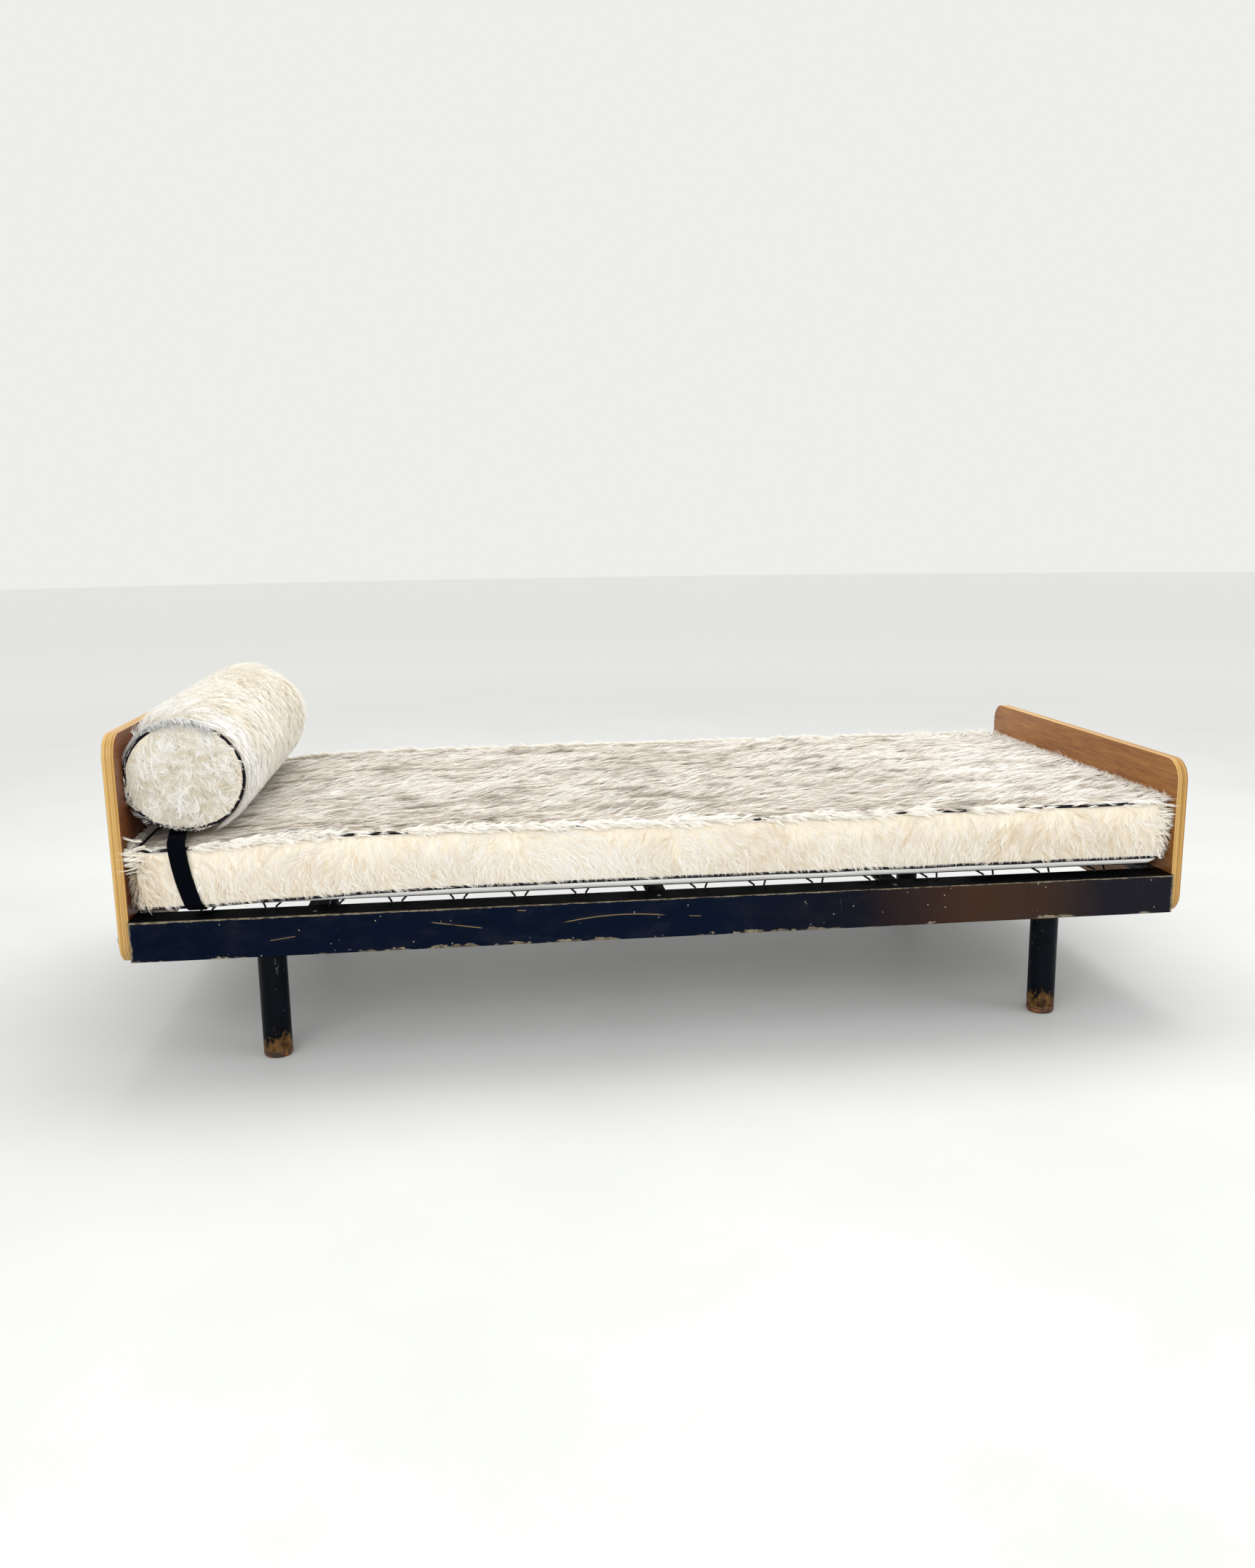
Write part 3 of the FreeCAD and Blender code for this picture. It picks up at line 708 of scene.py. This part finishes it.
def outline(steps, inset=0.0):
    """Points round the mattress's plan from the middle of the front side, with outward normals."""
    flat_x, flat_y = HALF_X - CORNER, HALF_Y - CORNER
    points, normals = [], []
    runs = [
        ((0.0, -flat_y), (flat_x, -flat_y), -90), ((flat_x, -flat_y), (flat_x, flat_y), 0),
        ((flat_x, flat_y), (-flat_x, flat_y), 90), ((-flat_x, flat_y), (-flat_x, -flat_y), 180),
        ((-flat_x, -flat_y), (0.0, -flat_y), 270),
    ]
    for number, (start, end, degrees) in enumerate(runs):
        start, end = np.array(start), np.array(end)
        way = math.radians(degrees)
        out = np.array([math.cos(way), math.sin(way)])
        pieces = max(2, int(round(np.linalg.norm(end - start) / steps)))
        for share in np.linspace(0.0, 1.0, pieces, endpoint=False):
            points.append(start + (end - start) * share + out * CORNER)
            normals.append(out)
        if number < 4:
            for turn in np.linspace(0.0, math.pi / 2, 7)[:-1]:
                out = np.array([math.cos(way + turn), math.sin(way + turn)])
                points.append(end + out * CORNER)
                normals.append(out)
    points, normals = np.array(points), np.array(normals)
    return points - normals * inset, normals


def side_bulge(share):
    """How far the side wall stands out between the lower and upper seams."""
    return 0.005 * np.sin(math.pi * share)


UNDERSIDE = 0.2815
# Rings under the mattress: the distance in from its side, and the share of the height from the
# underside up to the lower seam.
UNDER_RINGS = (
    (0.34, 0.0), (0.20, 0.0), (0.10, 0.0), (0.05, 0.0),
    (0.024, 0.0), (0.012, 0.16), (0.004, 0.5), (0.001, 0.8),
)
TOP_INSETS = (0.004, 0.012, 0.03, 0.06, 0.10, 0.16, 0.24, 0.32, 0.38)


def mattress_body():
    """The hide's skin and the white underside as one closed form."""
    plan, normals = outline(0.02)
    low, high = seam_low(plan[:, 0], plan[:, 1]), seam_high(plan[:, 0], plan[:, 1])
    floor = np.minimum(UNDERSIDE, low - 0.006)
    rings, bands = [], []
    for inset, share in UNDER_RINGS:
        rings.append(np.column_stack([plan - normals * inset, floor + (low - floor) * share]))
        bands.append(0)
    for share in np.linspace(0.0, 1.0, 9):
        edge = plan + normals * side_bulge(share)
        rings.append(np.column_stack([edge, low + (high - low) * share]))
        bands.append(1)
    for inset in TOP_INSETS:
        flat = plan - normals * inset
        rings.append(np.column_stack([flat, top_height(flat[:, 0], flat[:, 1])]))
        bands.append(2)
    around = len(plan)
    points = np.concatenate(rings)
    piece = mesh_piece(
        "mattress_hide", points, ring_quads(len(rings), around), "mattress",
        [TICKING, SIDE_SKIN, TOP_SKIN],
    )
    band = np.repeat(np.maximum(bands[:-1], bands[1:]), around)
    band[(len(UNDER_RINGS) - 1) * around:len(UNDER_RINGS) * around] = 0
    piece.data.polygons.foreach_set("material_index", band.astype(np.int32))
    close_ends(piece.data, len(points), around)
    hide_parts("mattress_cover", "mattress_core")


def close_ends(mesh, total, around):
    """Fills the first and the last ring with one face each."""
    made = bmesh.new()
    made.from_mesh(mesh)
    made.verts.ensure_lookup_table()
    bottom = made.faces.new([made.verts[i] for i in reversed(range(around))])
    bottom.material_index = 0
    top = made.faces.new([made.verts[i] for i in range(total - around, total)])
    top.material_index = 2
    made.to_mesh(mesh)
    made.free()


def mattress_piping(name, height, node):
    plan, normals = outline(0.008)
    place = plan + normals * PIPING_PROUD
    path = np.column_stack([place, height(plan[:, 0], plan[:, 1])])
    piece = tube(name, path, "mattress")
    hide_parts(node)


strap_low, strap_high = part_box("bolster_strap")
STRAP_WIDTH = strap_high.x - strap_low.x
STRAP_X = (strap_low.x + strap_high.x) / 2
STRAP_FALL = 0.12
STRAP_SHIFT = 0.024
STRAP_LEAN = 0.013


def strap_centre(y, z):
    """The strap leans towards the foot as it comes forward over the top and down the front."""
    share = np.clip((SEAM_HIGH - z) / STRAP_FALL, 0.0, 1.0)
    back = np.clip((y + HALF_Y) / 0.07, 0.0, 1.0)
    return STRAP_X + STRAP_SHIFT * share ** 1.7 - STRAP_LEAN * back * (share < 0.1)


def clear_of_strap(root, flow, length):
    """True for locks that neither start under the strap nor reach far over it."""
    from_centre = root[:, 0] - strap_centre(root[:, 1], root[:, 2])
    tip = from_centre + flow[:, 0] * length * 0.8
    near = STRAP_WIDTH / 2 + 0.002
    beside = (np.abs(from_centre) > near) & (np.abs(tip) > near - 0.006)
    return beside & (np.sign(tip) == np.sign(from_centre))


def under_bolster(x):
    """True where the bolster presses the hair flat."""
    return np.abs(x - BOLSTER_X) < 0.035


TOP_CELL = 0.0115
TOP_PIECES = 7
top_turn = field(11, 0.13)
top_turn_fine = field(12, 0.035)
top_patch = field(13, 0.22)
top_fleck = field(14, 0.022)
top_length = field(15, 0.07)


def top_hair():
    """Hair that streams over the top towards the foot, in lengthwise pieces."""
    rng = np.random.default_rng(101)
    x, y = scatter(
        rng, (-HALF_X + 0.002, HALF_X - 0.004), (-HALF_Y + 0.003, HALF_Y - 0.003), TOP_CELL
    )
    count = len(x)
    edge = ease((0.05 - (y + HALF_Y)) / 0.05)
    angle = 0.4 * top_turn(x, y) + 0.34 * top_turn_fine(x, y) + rng.normal(0, 0.13, count) - 0.5 * edge
    tuft = np.maximum(top_length(x, y), 0.0)
    rare = rng.uniform(0, 1, count) < 0.12
    flecks = 0.6 * np.maximum(top_fleck(x * 0.4, y) - 0.05, 0) + 0.1 * top_patch(x, y) + 0.3 * rare
    pale_end = 0.16 * ease((x - 0.35) / 0.4)
    base = dict(
        root=np.column_stack([x, y, top_height(x, y) - 0.001]),
        normal=np.tile(Z_AXIS, (count, 1)),
        flow=np.column_stack([np.cos(angle), np.sin(angle), np.zeros(count)]),
        length=rng.uniform(0.028, 0.042, count) + 0.010 * tuft,
        rise=rng.uniform(0.005, 0.0095, count) + 0.006 * tuft,
        curl=rng.uniform(0.0008, 0.0026, count),
        spread=0.0062,
        width=rng.uniform(0.0010, 0.0017, count),
        tone=np.clip(0.34 + flecks + rng.normal(0, 0.08, count) - pale_end, 0, 1),
    )
    base["rise"] = np.where(under_bolster(x), 0.003, base["rise"])
    base = chosen(base, clear_of_strap(base["root"], base["flow"], base["length"]))
    cuts = np.linspace(-HALF_X, HALF_X, TOP_PIECES + 1)[1:-1]
    place = np.searchsorted(cuts, base["root"][:, 0])
    for number in range(TOP_PIECES):
        part = chosen(base, place == number)
        locks(f"mattress_top_hair_{number + 1}", part, "mattress", TOP_HAIR, 201 + number)


SIDE_HEIGHT = SEAM_HIGH - SEAM_LOW
SIDE_CELL = 0.0066
BACK_SHARE = 0.6
side_turn = field(21, 0.075)
side_turn_fine = field(22, 0.03)
side_patch = field(23, 0.16)


def perimeter_place(distance):
    """The point and outward normal at a distance round the outline, from the front's middle."""
    plan, normals = outline(0.004)
    gaps = np.linalg.norm(np.roll(plan, -1, axis=0) - plan, axis=1)
    walked = np.concatenate([[0.0], np.cumsum(gaps)])
    closed = np.vstack([plan, plan[:1]])
    closed_normals = np.vstack([normals, normals[:1]])
    at = np.mod(distance, walked[-1])
    point = np.column_stack([np.interp(at, walked, closed[:, k]) for k in (0, 1)])
    out = unit(np.column_stack([np.interp(at, walked, closed_normals[:, k]) for k in (0, 1)]))
    return point, out


PERIMETER = 4 * (HALF_X + HALF_Y) - (8 - 2 * math.pi) * CORNER


def along_outline(out):
    """The direction round the mattress's plan where its side faces out."""
    return np.column_stack([-out[:, 1], out[:, 0], np.zeros(len(out))])


def side_hair():
    """Hair that hangs and swirls down the border. The back and the ends have less of it."""
    rng = np.random.default_rng(102)
    walk, up = scatter(rng, (0.0, PERIMETER), (0.0, SIDE_HEIGHT), SIDE_CELL)
    share = np.clip(up / SIDE_HEIGHT, 0.0, 1.0)
    count = len(walk)
    point, out = perimeter_place(walk)
    low = seam_low(point[:, 0], point[:, 1]) + PIPING + 0.002
    high = seam_high(point[:, 0], point[:, 1]) - PIPING
    z = low + (high - low) * share
    angle = 1.0 * side_turn(walk, z) + 0.5 * side_turn_fine(walk, z) + rng.normal(0, 0.16, count) + 0.25
    length = rng.uniform(0.024, 0.038, count)
    length = np.minimum(length, (z - low + 0.003) / np.maximum(np.cos(angle), 0.25))
    at_end = 0.009 * ease(np.abs(out[:, 0]) * 2)
    base = dict(
        root=np.column_stack([point + out * (side_bulge(share) - 0.001)[:, None], z]),
        normal=np.column_stack([out, np.zeros(count)]),
        flow=along_outline(out) * np.sin(angle)[:, None] - Z_AXIS * np.cos(angle)[:, None],
        length=length,
        rise=rng.uniform(0.003, 0.0065, count) * np.clip(length / 0.026, 0.3, 1.0) + at_end,
        curl=rng.uniform(0.0025, 0.006, count) * np.clip(length / 0.03, 0.2, 1.0),
        spread=0.0046,
        width=rng.uniform(0.0008, 0.0014, count),
        tone=np.clip(0.4 + 0.26 * side_patch(walk, z) + rng.normal(0, 0.2, count), 0, 1),
    )
    clear = clear_of_strap(base["root"], base["flow"], length)
    base = chosen(base, clear | (np.abs(out[:, 1]) < 0.9))
    x = base["root"][:, 0]
    front = base["normal"][:, 1] < -0.6
    quarter = np.searchsorted((-0.45, 0.0, 0.45), x)
    for number in range(4):
        part = chosen(base, front & (quarter == number))
        locks(f"mattress_front_hair_{number + 1}", part, "mattress", SIDE_HAIR, 211 + number, steps=6)
    behind = ~front & (rng.uniform(0, 1, len(x)) < BACK_SHARE)
    locks("mattress_back_hair_1", chosen(base, behind & (x < 0)), "mattress", SIDE_HAIR, 216)
    locks("mattress_back_hair_2", chosen(base, behind & (x >= 0)), "mattress", SIDE_HAIR, 217)


def corner_tufts():
    """Pale tufts that stand out past the boards' front edges at the ends of the front."""
    rng = np.random.default_rng(107)
    count = 34
    end = np.where(np.arange(count) < 22, -1.0, 1.0)
    turn = rng.uniform(1.0, 1.55, count)
    height = np.where(end < 0, 0.374, 0.378) + rng.normal(0, 0.009, count)
    place = np.column_stack([end * (HALF_X - CORNER), np.full(count, -(HALF_Y - CORNER))])
    out = np.column_stack([end * np.cos(turn), -np.sin(turn)])
    base = dict(
        root=np.column_stack([place + out * CORNER, height]),
        normal=np.column_stack([out * np.array([0.3, 1.0]), np.full(count, 0.3)]),
        flow=np.column_stack([end, rng.uniform(-0.5, -0.3, count), rng.normal(0.05, 0.12, count)]),
        length=rng.uniform(0.036, 0.056, count),
        rise=rng.uniform(0.004, 0.010, count),
        curl=rng.uniform(0.002, 0.005, count),
        spread=0.003,
        width=rng.uniform(0.0008, 0.0012, count),
        tone=rng.uniform(0.2, 0.6, count),
    )
    locks("mattress_corner_tufts", base, "mattress", SIDE_HAIR, 222, steps=6)


SEAM_SPACING = 0.0012
# Stretches along the front where the upper piping shows between the hair.
BARE_SEAM = ((-0.92, -0.86), (-0.58, -0.46), (0.10, 0.17), (0.38, 0.42), (0.46, 0.53), (0.61, 0.92))


def seam_hair():
    """White hair that folds over the upper seam, higher at the back and the ends."""
    rng = np.random.default_rng(103)
    count = int(PERIMETER / SEAM_SPACING)
    walk = rng.uniform(0.0, PERIMETER, count)
    point, out = perimeter_place(walk)
    x = point[:, 0]
    drop = rng.uniform(-0.005, 0.004, count)
    angle = rng.normal(0.14, 0.26, count)
    bare = np.zeros(count, dtype=bool)
    for start, end in BARE_SEAM:
        bare |= (x > start) & (x < end)
    share = np.where(bare & (out[:, 1] < -0.5), 0.12, 0.95)
    higher = 0.006 * (out[:, 1] > 0.5)
    base = dict(
        root=np.column_stack([point + out * 0.002, seam_high(x, point[:, 1]) - drop]),
        normal=unit(np.column_stack([out * 0.75, np.full(count, 0.66)])),
        flow=along_outline(out) * np.cos(angle)[:, None] - Z_AXIS * np.sin(angle)[:, None],
        length=rng.uniform(0.018, 0.034, count),
        rise=rng.uniform(0.0045, 0.0085, count) + higher + 0.009 * (np.abs(out[:, 0]) > 0.5),
        curl=rng.uniform(0.001, 0.003, count),
        spread=0.003,
        width=rng.uniform(0.0008, 0.0013, count),
        tone=rng.uniform(0.0, 0.2, count),
    )
    clear = clear_of_strap(base["root"], base["flow"], base["length"])
    keep = (rng.uniform(0, 1, count) < share) & clear
    locks("mattress_seam_hair", chosen(base, keep), "mattress", SIDE_HAIR, 221)


# Bolster

ring_low, ring_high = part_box("bolster_piping_front")
back_low, back_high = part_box("bolster_piping_back")
FRONT_CENTRE = np.array(ring_low + ring_high) / 2
BACK_CENTRE = np.array(back_low + back_high) / 2
BOLSTER_X = FRONT_CENTRE[0]
BOLSTER_AXIS = (BACK_CENTRE - FRONT_CENTRE) / np.linalg.norm(BACK_CENTRE - FRONT_CENTRE)
BOLSTER_LENGTH = float(np.linalg.norm(BACK_CENTRE - FRONT_CENTRE))
BOLSTER_UP = np.cross(X_AXIS, BOLSTER_AXIS)
HEAD_BOARD_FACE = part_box("head_panel")[1].x
HEAD_BOARD_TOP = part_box("head_panel")[1].z
RADIUS_WIDE = 0.098
RADIUS_HIGH = 0.0925
CAP_DOME = 0.010


def heaped(turn):
    """1 on the upper side next to the head board, where the bolster bulges over it."""
    return ease((np.sin(turn) - 0.35) / 0.3) * ease((0.35 - np.cos(turn)) / 0.5)


def bolster_radius(turn, share):
    """The distance from the axis: a little wider than high, flat below, fuller between the rings."""
    inside = np.minimum(share, 1 - share) * BOLSTER_LENGTH
    full = 1.0 - np.exp(-np.maximum(inside, 0.0) / 0.03)
    swell = (0.0065 + 0.008 * heaped(turn) + 0.0015 * soft_lumps(turn * 0.1, share * 0.7)) * full
    wide = 1.0 / np.sqrt((np.cos(turn) / RADIUS_WIDE) ** 2 + (np.sin(turn) / RADIUS_HIGH) ** 2)
    flat = 0.004 * ease((-np.sin(turn) - 0.75) / 0.25)
    return wide + swell - flat


def bolster_point(turn, share, radius=None):
    """A point at an angle round the axis (0 at +X, a quarter turn at the top)."""
    reach = bolster_radius(turn, share) if radius is None else radius
    centre = FRONT_CENTRE + BOLSTER_AXIS * (share * BOLSTER_LENGTH)[..., None]
    sideways = X_AXIS * np.cos(turn)[..., None] + BOLSTER_UP * np.sin(turn)[..., None]
    point = centre + sideways * np.asarray(reach)[..., None]
    below_top = ease((HEAD_BOARD_TOP + 0.006 - point[..., 2]) / 0.012)
    point[..., 0] += np.maximum(HEAD_BOARD_FACE + 0.0015 - point[..., 0], 0.0) * below_top
    return point, sideways


CAP_RINGS = (0.04, 0.3, 0.55, 0.75, 0.9, 0.98)


def bolster_body():
    """The bolster's skin with its two domed ends as one closed form."""
    around = 96
    turn = np.linspace(0.0, 2 * math.pi, around, endpoint=False)

    def cap_ring(end, part):
        edge = np.full(around, 0.0 if end == -1 else 1.0)
        place = bolster_point(turn, edge, bolster_radius(turn, edge) * part)[0]
        return place + BOLSTER_AXIS * end * CAP_DOME * (1 - part ** 2)

    rings = [cap_ring(-1, part) for part in CAP_RINGS]
    rings += [bolster_point(turn, np.full(around, share))[0] for share in np.linspace(0.0, 1.0, 25)]
    rings += [cap_ring(1, part) for part in reversed(CAP_RINGS)]
    points = np.concatenate(rings)
    quads = ring_quads(len(rings), around)
    piece = mesh_piece("bolster_hide", points, quads, "bolster", [SIDE_SKIN])
    close_ends(piece.data, len(points), around)
    piece.data.polygons.foreach_set("material_index", np.zeros(len(piece.data.polygons), dtype=np.int32))
    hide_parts("bolster_cover", "bolster_core")


def bolster_ring(name, share, node):
    turn = np.linspace(0.0, 2 * math.pi, 120, endpoint=False)
    edge = np.full(120, share)
    path = bolster_point(turn, edge, bolster_radius(turn, edge) + 0.0008)[0]
    piece = tube(name, path, "bolster")
    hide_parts(node)


wrap_turn = field(31, 0.09)
wrap_patch = field(32, 0.12)
cap_turn = field(33, 0.055)
MEAN_RADIUS = (RADIUS_WIDE + RADIUS_HIGH) / 2
WRAP_CELL = 0.008
CAP_CELL = 0.0056


def round_bolster(turn):
    """The direction round the bolster, over its top towards the foot."""
    return X_AXIS * np.sin(turn)[:, None] - BOLSTER_UP * np.cos(turn)[:, None]


def bolster_wrap_hair():
    """Hair that streams round the bolster, white near the front."""
    rng = np.random.default_rng(104)
    arc, reach = scatter(
        rng, (0.0, 2 * math.pi * MEAN_RADIUS), (0.004, BOLSTER_LENGTH - 0.004), WRAP_CELL
    )
    count = len(arc)
    turn = arc / MEAN_RADIUS
    root, out = bolster_point(turn, reach / BOLSTER_LENGTH)
    at_front = ease((0.05 - reach) / 0.05)
    angle = 0.5 * wrap_turn(arc, reach) + rng.normal(0, 0.2, count) - 0.25 - 0.35 * at_front
    white = ease((0.15 - reach + 0.03 * wrap_turn(arc * 2, reach * 0 + 1)) / 0.05)
    against_board = (np.cos(turn) < -0.75) & (root[:, 2] < HEAD_BOARD_TOP)
    pressed = (np.sin(turn) < -0.8) | against_board
    patches = 0.22 * wrap_patch(arc, reach)
    base = dict(
        root=root - out * 0.001,
        normal=out,
        flow=round_bolster(turn) * np.cos(angle)[:, None] + BOLSTER_AXIS * np.sin(angle)[:, None],
        length=rng.uniform(0.026, 0.04, count),
        rise=np.where(pressed, 0.0015, rng.uniform(0.009, 0.014, count) + 0.009 * heaped(turn)),
        curl=rng.uniform(0.0015, 0.0045, count),
        spread=0.0055,
        width=rng.uniform(0.0008, 0.0014, count),
        tone=np.clip((0.4 + patches + rng.normal(0, 0.2, count)) * (1 - white), 0, 1),
        bend=1.0 / MEAN_RADIUS,
    )
    front = reach < BOLSTER_LENGTH / 2
    locks("bolster_hair_front", chosen(base, front), "bolster", BOLSTER_HAIR, 231)
    locks("bolster_hair_back", chosen(base, ~front), "bolster", BOLSTER_HAIR, 232)


def bolster_collar():
    """White hair just behind the front ring, which laps over it near the top."""
    rng = np.random.default_rng(108)
    count = 760
    turn = rng.uniform(math.radians(62), math.radians(212), count)
    root, out = bolster_point(turn, rng.uniform(0.001, 0.012, count) / BOLSTER_LENGTH)
    over = ease((math.radians(136) - turn) / 0.25)
    lap = rng.uniform(0.7, 1.5, count) * over
    base = dict(
        root=root,
        normal=out,
        flow=round_bolster(turn) - BOLSTER_AXIS * lap[:, None],
        length=rng.uniform(0.016, 0.026, count),
        rise=rng.uniform(0.007, 0.010, count) + 0.002 * over,
        curl=rng.uniform(0.001, 0.003, count),
        spread=0.0035,
        width=rng.uniform(0.0007, 0.0012, count),
        tone=rng.uniform(0.0, 0.1, count),
        bend=np.where(over > 0.5, 60.0, 9.0),
    )
    locks("bolster_collar_hair", base, "bolster", BOLSTER_HAIR, 233)


def bolster_cap_hair(name, end, seed):
    """Hair that swirls over a bolster end."""
    rng = np.random.default_rng(seed)
    wide = RADIUS_WIDE - 0.003
    x, y = scatter(rng, (-wide, wide), (-wide, wide), CAP_CELL)
    far = np.hypot(x / RADIUS_WIDE, y / RADIUS_HIGH)
    x, y, far = x[far < 0.97], y[far < 0.97], far[far < 0.97]
    count = len(x)
    edge = 0.0 if end == -1 else 1.0
    centre = FRONT_CENTRE if end == -1 else BACK_CENTRE
    out = BOLSTER_AXIS * end
    flat = centre + X_AXIS * x[:, None] + BOLSTER_UP * y[:, None]
    swirl = 1.15 * cap_turn(x + edge, y) + 0.6 * cap_turn(2.2 * x + 3, 2.2 * y)
    swirl = swirl + rng.normal(0, 0.25, count) - 1.35
    across, up = np.cos(swirl), np.sin(swirl)
    tip = np.hypot((x + 0.024 * across) / RADIUS_WIDE, (y + 0.024 * up) / RADIUS_HIGH)
    length = rng.uniform(0.018, 0.028, count) * np.clip(1.0 - (tip - 0.93) / 0.16, 0.2, 1.0)
    base = dict(
        root=flat + out * (CAP_DOME * (1 - far ** 2))[:, None],
        normal=np.tile(out, (count, 1)),
        flow=X_AXIS * across[:, None] + BOLSTER_UP * up[:, None],
        length=length,
        rise=rng.uniform(0.003, 0.009, count) * np.clip(length / 0.02, 0.3, 1.0),
        curl=rng.uniform(0.004, 0.009, count) * np.clip(length / 0.02, 0.2, 1.0),
        spread=0.0036,
        width=rng.uniform(0.0007, 0.0012, count),
        tone=np.clip(0.5 + 0.2 * cap_turn(x * 2, y * 2) + rng.normal(0, 0.26, count), 0, 1),
    )
    locks(name, base, "bolster", BOLSTER_HAIR, seed + 100, strands=8, steps=7)


# Strap

STRAP_THICKNESS = 0.002
STRAP_TOP = 0.4035
STRAP_FRONT = 0.4232
STRAP_TOP_ROUND = 0.012
STRAP_LOW_ROUND = 0.018
STRAP_BEVEL = 0.0012


def strap_path():
    """Points round the mattress's section, as y and z, from the middle of the top to the front."""
    low = strap_low.z + STRAP_THICKNESS / 2
    high, front = STRAP_TOP, STRAP_FRONT
    top, bottom = STRAP_TOP_ROUND, STRAP_LOW_ROUND
    path = [(y, high) for y in np.linspace(0.0, -(front - top), 24, endpoint=False)]
    for turn in np.linspace(0, math.pi / 2, 7):
        path.append((-(front - top) - top * math.sin(turn), high - top * (1 - math.cos(turn))))
    path += [(-front, z) for z in np.linspace(high - top, low + bottom, 12)[1:-1]]
    for turn in np.linspace(0, math.pi / 2, 7):
        path.append((-front + bottom * (1 - math.cos(turn)), low + bottom * (1 - math.sin(turn))))
    path += [(y, low) for y in np.linspace(-(front - bottom), 0.0, 24)[1:]]
    half = np.array(path)
    other = half[::-1][1:-1] * np.array([-1.0, 1.0])
    return np.vstack([half, other])


def strap():
    """A loop of flat webbing with softened edges, which leans at the front and is straight behind."""
    path = strap_path()
    ahead = unit(np.roll(path, -1, axis=0) - np.roll(path, 1, axis=0))
    out = np.column_stack([-ahead[:, 1], ahead[:, 0]]) * -1.0
    behind = ease((path[:, 0] + 0.1) / 0.2)
    middle = strap_centre(path[:, 0], path[:, 1]) * (1 - behind) + STRAP_X * behind
    walked = np.concatenate([[0.0], np.cumsum(np.linalg.norm(np.diff(path, axis=0), axis=1))])
    half, inner = STRAP_WIDTH / 2, STRAP_WIDTH / 2 - STRAP_BEVEL
    profile = [
        (-half, -0.4), (-half, 0.4), (-inner, 1.0), (inner, 1.0),
        (half, 0.4), (half, -0.4), (inner, -1.0), (-inner, -1.0),
    ]
    rows, uv = [], []
    for across, level in profile:
        rows.append(np.column_stack([middle + across, path + out * (level * (STRAP_THICKNESS / 2))]))
        uv.append(np.column_stack([np.full(len(path), across), walked]))
    piece = mesh_piece(
        "bolster_strap_webbing", np.stack(rows, axis=1).reshape(-1, 3),
        ring_quads(len(path), len(profile), True), "bolster", [LOOKS["webbing"]],
        uv=np.stack(uv, axis=1).reshape(-1, 2),
    )
    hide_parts("bolster_strap")


# Everything

mattress_body()
mattress_piping("mattress_piping_low", seam_low, "mattress_piping_bottom")
mattress_piping("mattress_piping_high", seam_high, "mattress_piping_top")
top_hair()
side_hair()
seam_hair()
corner_tufts()
bolster_body()
bolster_ring("bolster_ring_front", 0.0, "bolster_piping_front")
bolster_ring("bolster_ring_back", 1.0, "bolster_piping_back")
bolster_wrap_hair()
bolster_collar()
bolster_cap_hair("bolster_cap_hair_front", -1, 105)
bolster_cap_hair("bolster_cap_hair_back", 1, 106)
strap()


FLOOR_RADIUS = 30.0


def make_floor():
    """A wide round floor with a faint mottle."""
    look = Look("floor", 0.5, Specular_IOR_Level=0.3)
    cloud = look.noise(1.6, detail=4)
    colour = look.ramp(cloud, (0.3, paint(208, 210, 210)), (0.7, paint(215, 217, 217)))
    out = look.node("VectorMath", {0: look.places.outputs["Object"]}, operation="LENGTH").outputs["Value"]
    colour = look.mix(look.step(out, 1.6, 7.0), colour, paint(243, 243, 240))
    around = 96
    turn = np.linspace(0, 2 * math.pi, around, endpoint=False)
    corners = [(FLOOR_RADIUS * math.cos(a), FLOOR_RADIUS * math.sin(a), 0.0) for a in turn]
    mesh = bpy.data.meshes.new("floor")
    mesh.from_pydata(corners, [], [list(range(around))])
    mesh.materials.append(look.finish(colour, None, cloud, 0.0005, 0.1))
    link("floor", mesh)


make_floor()
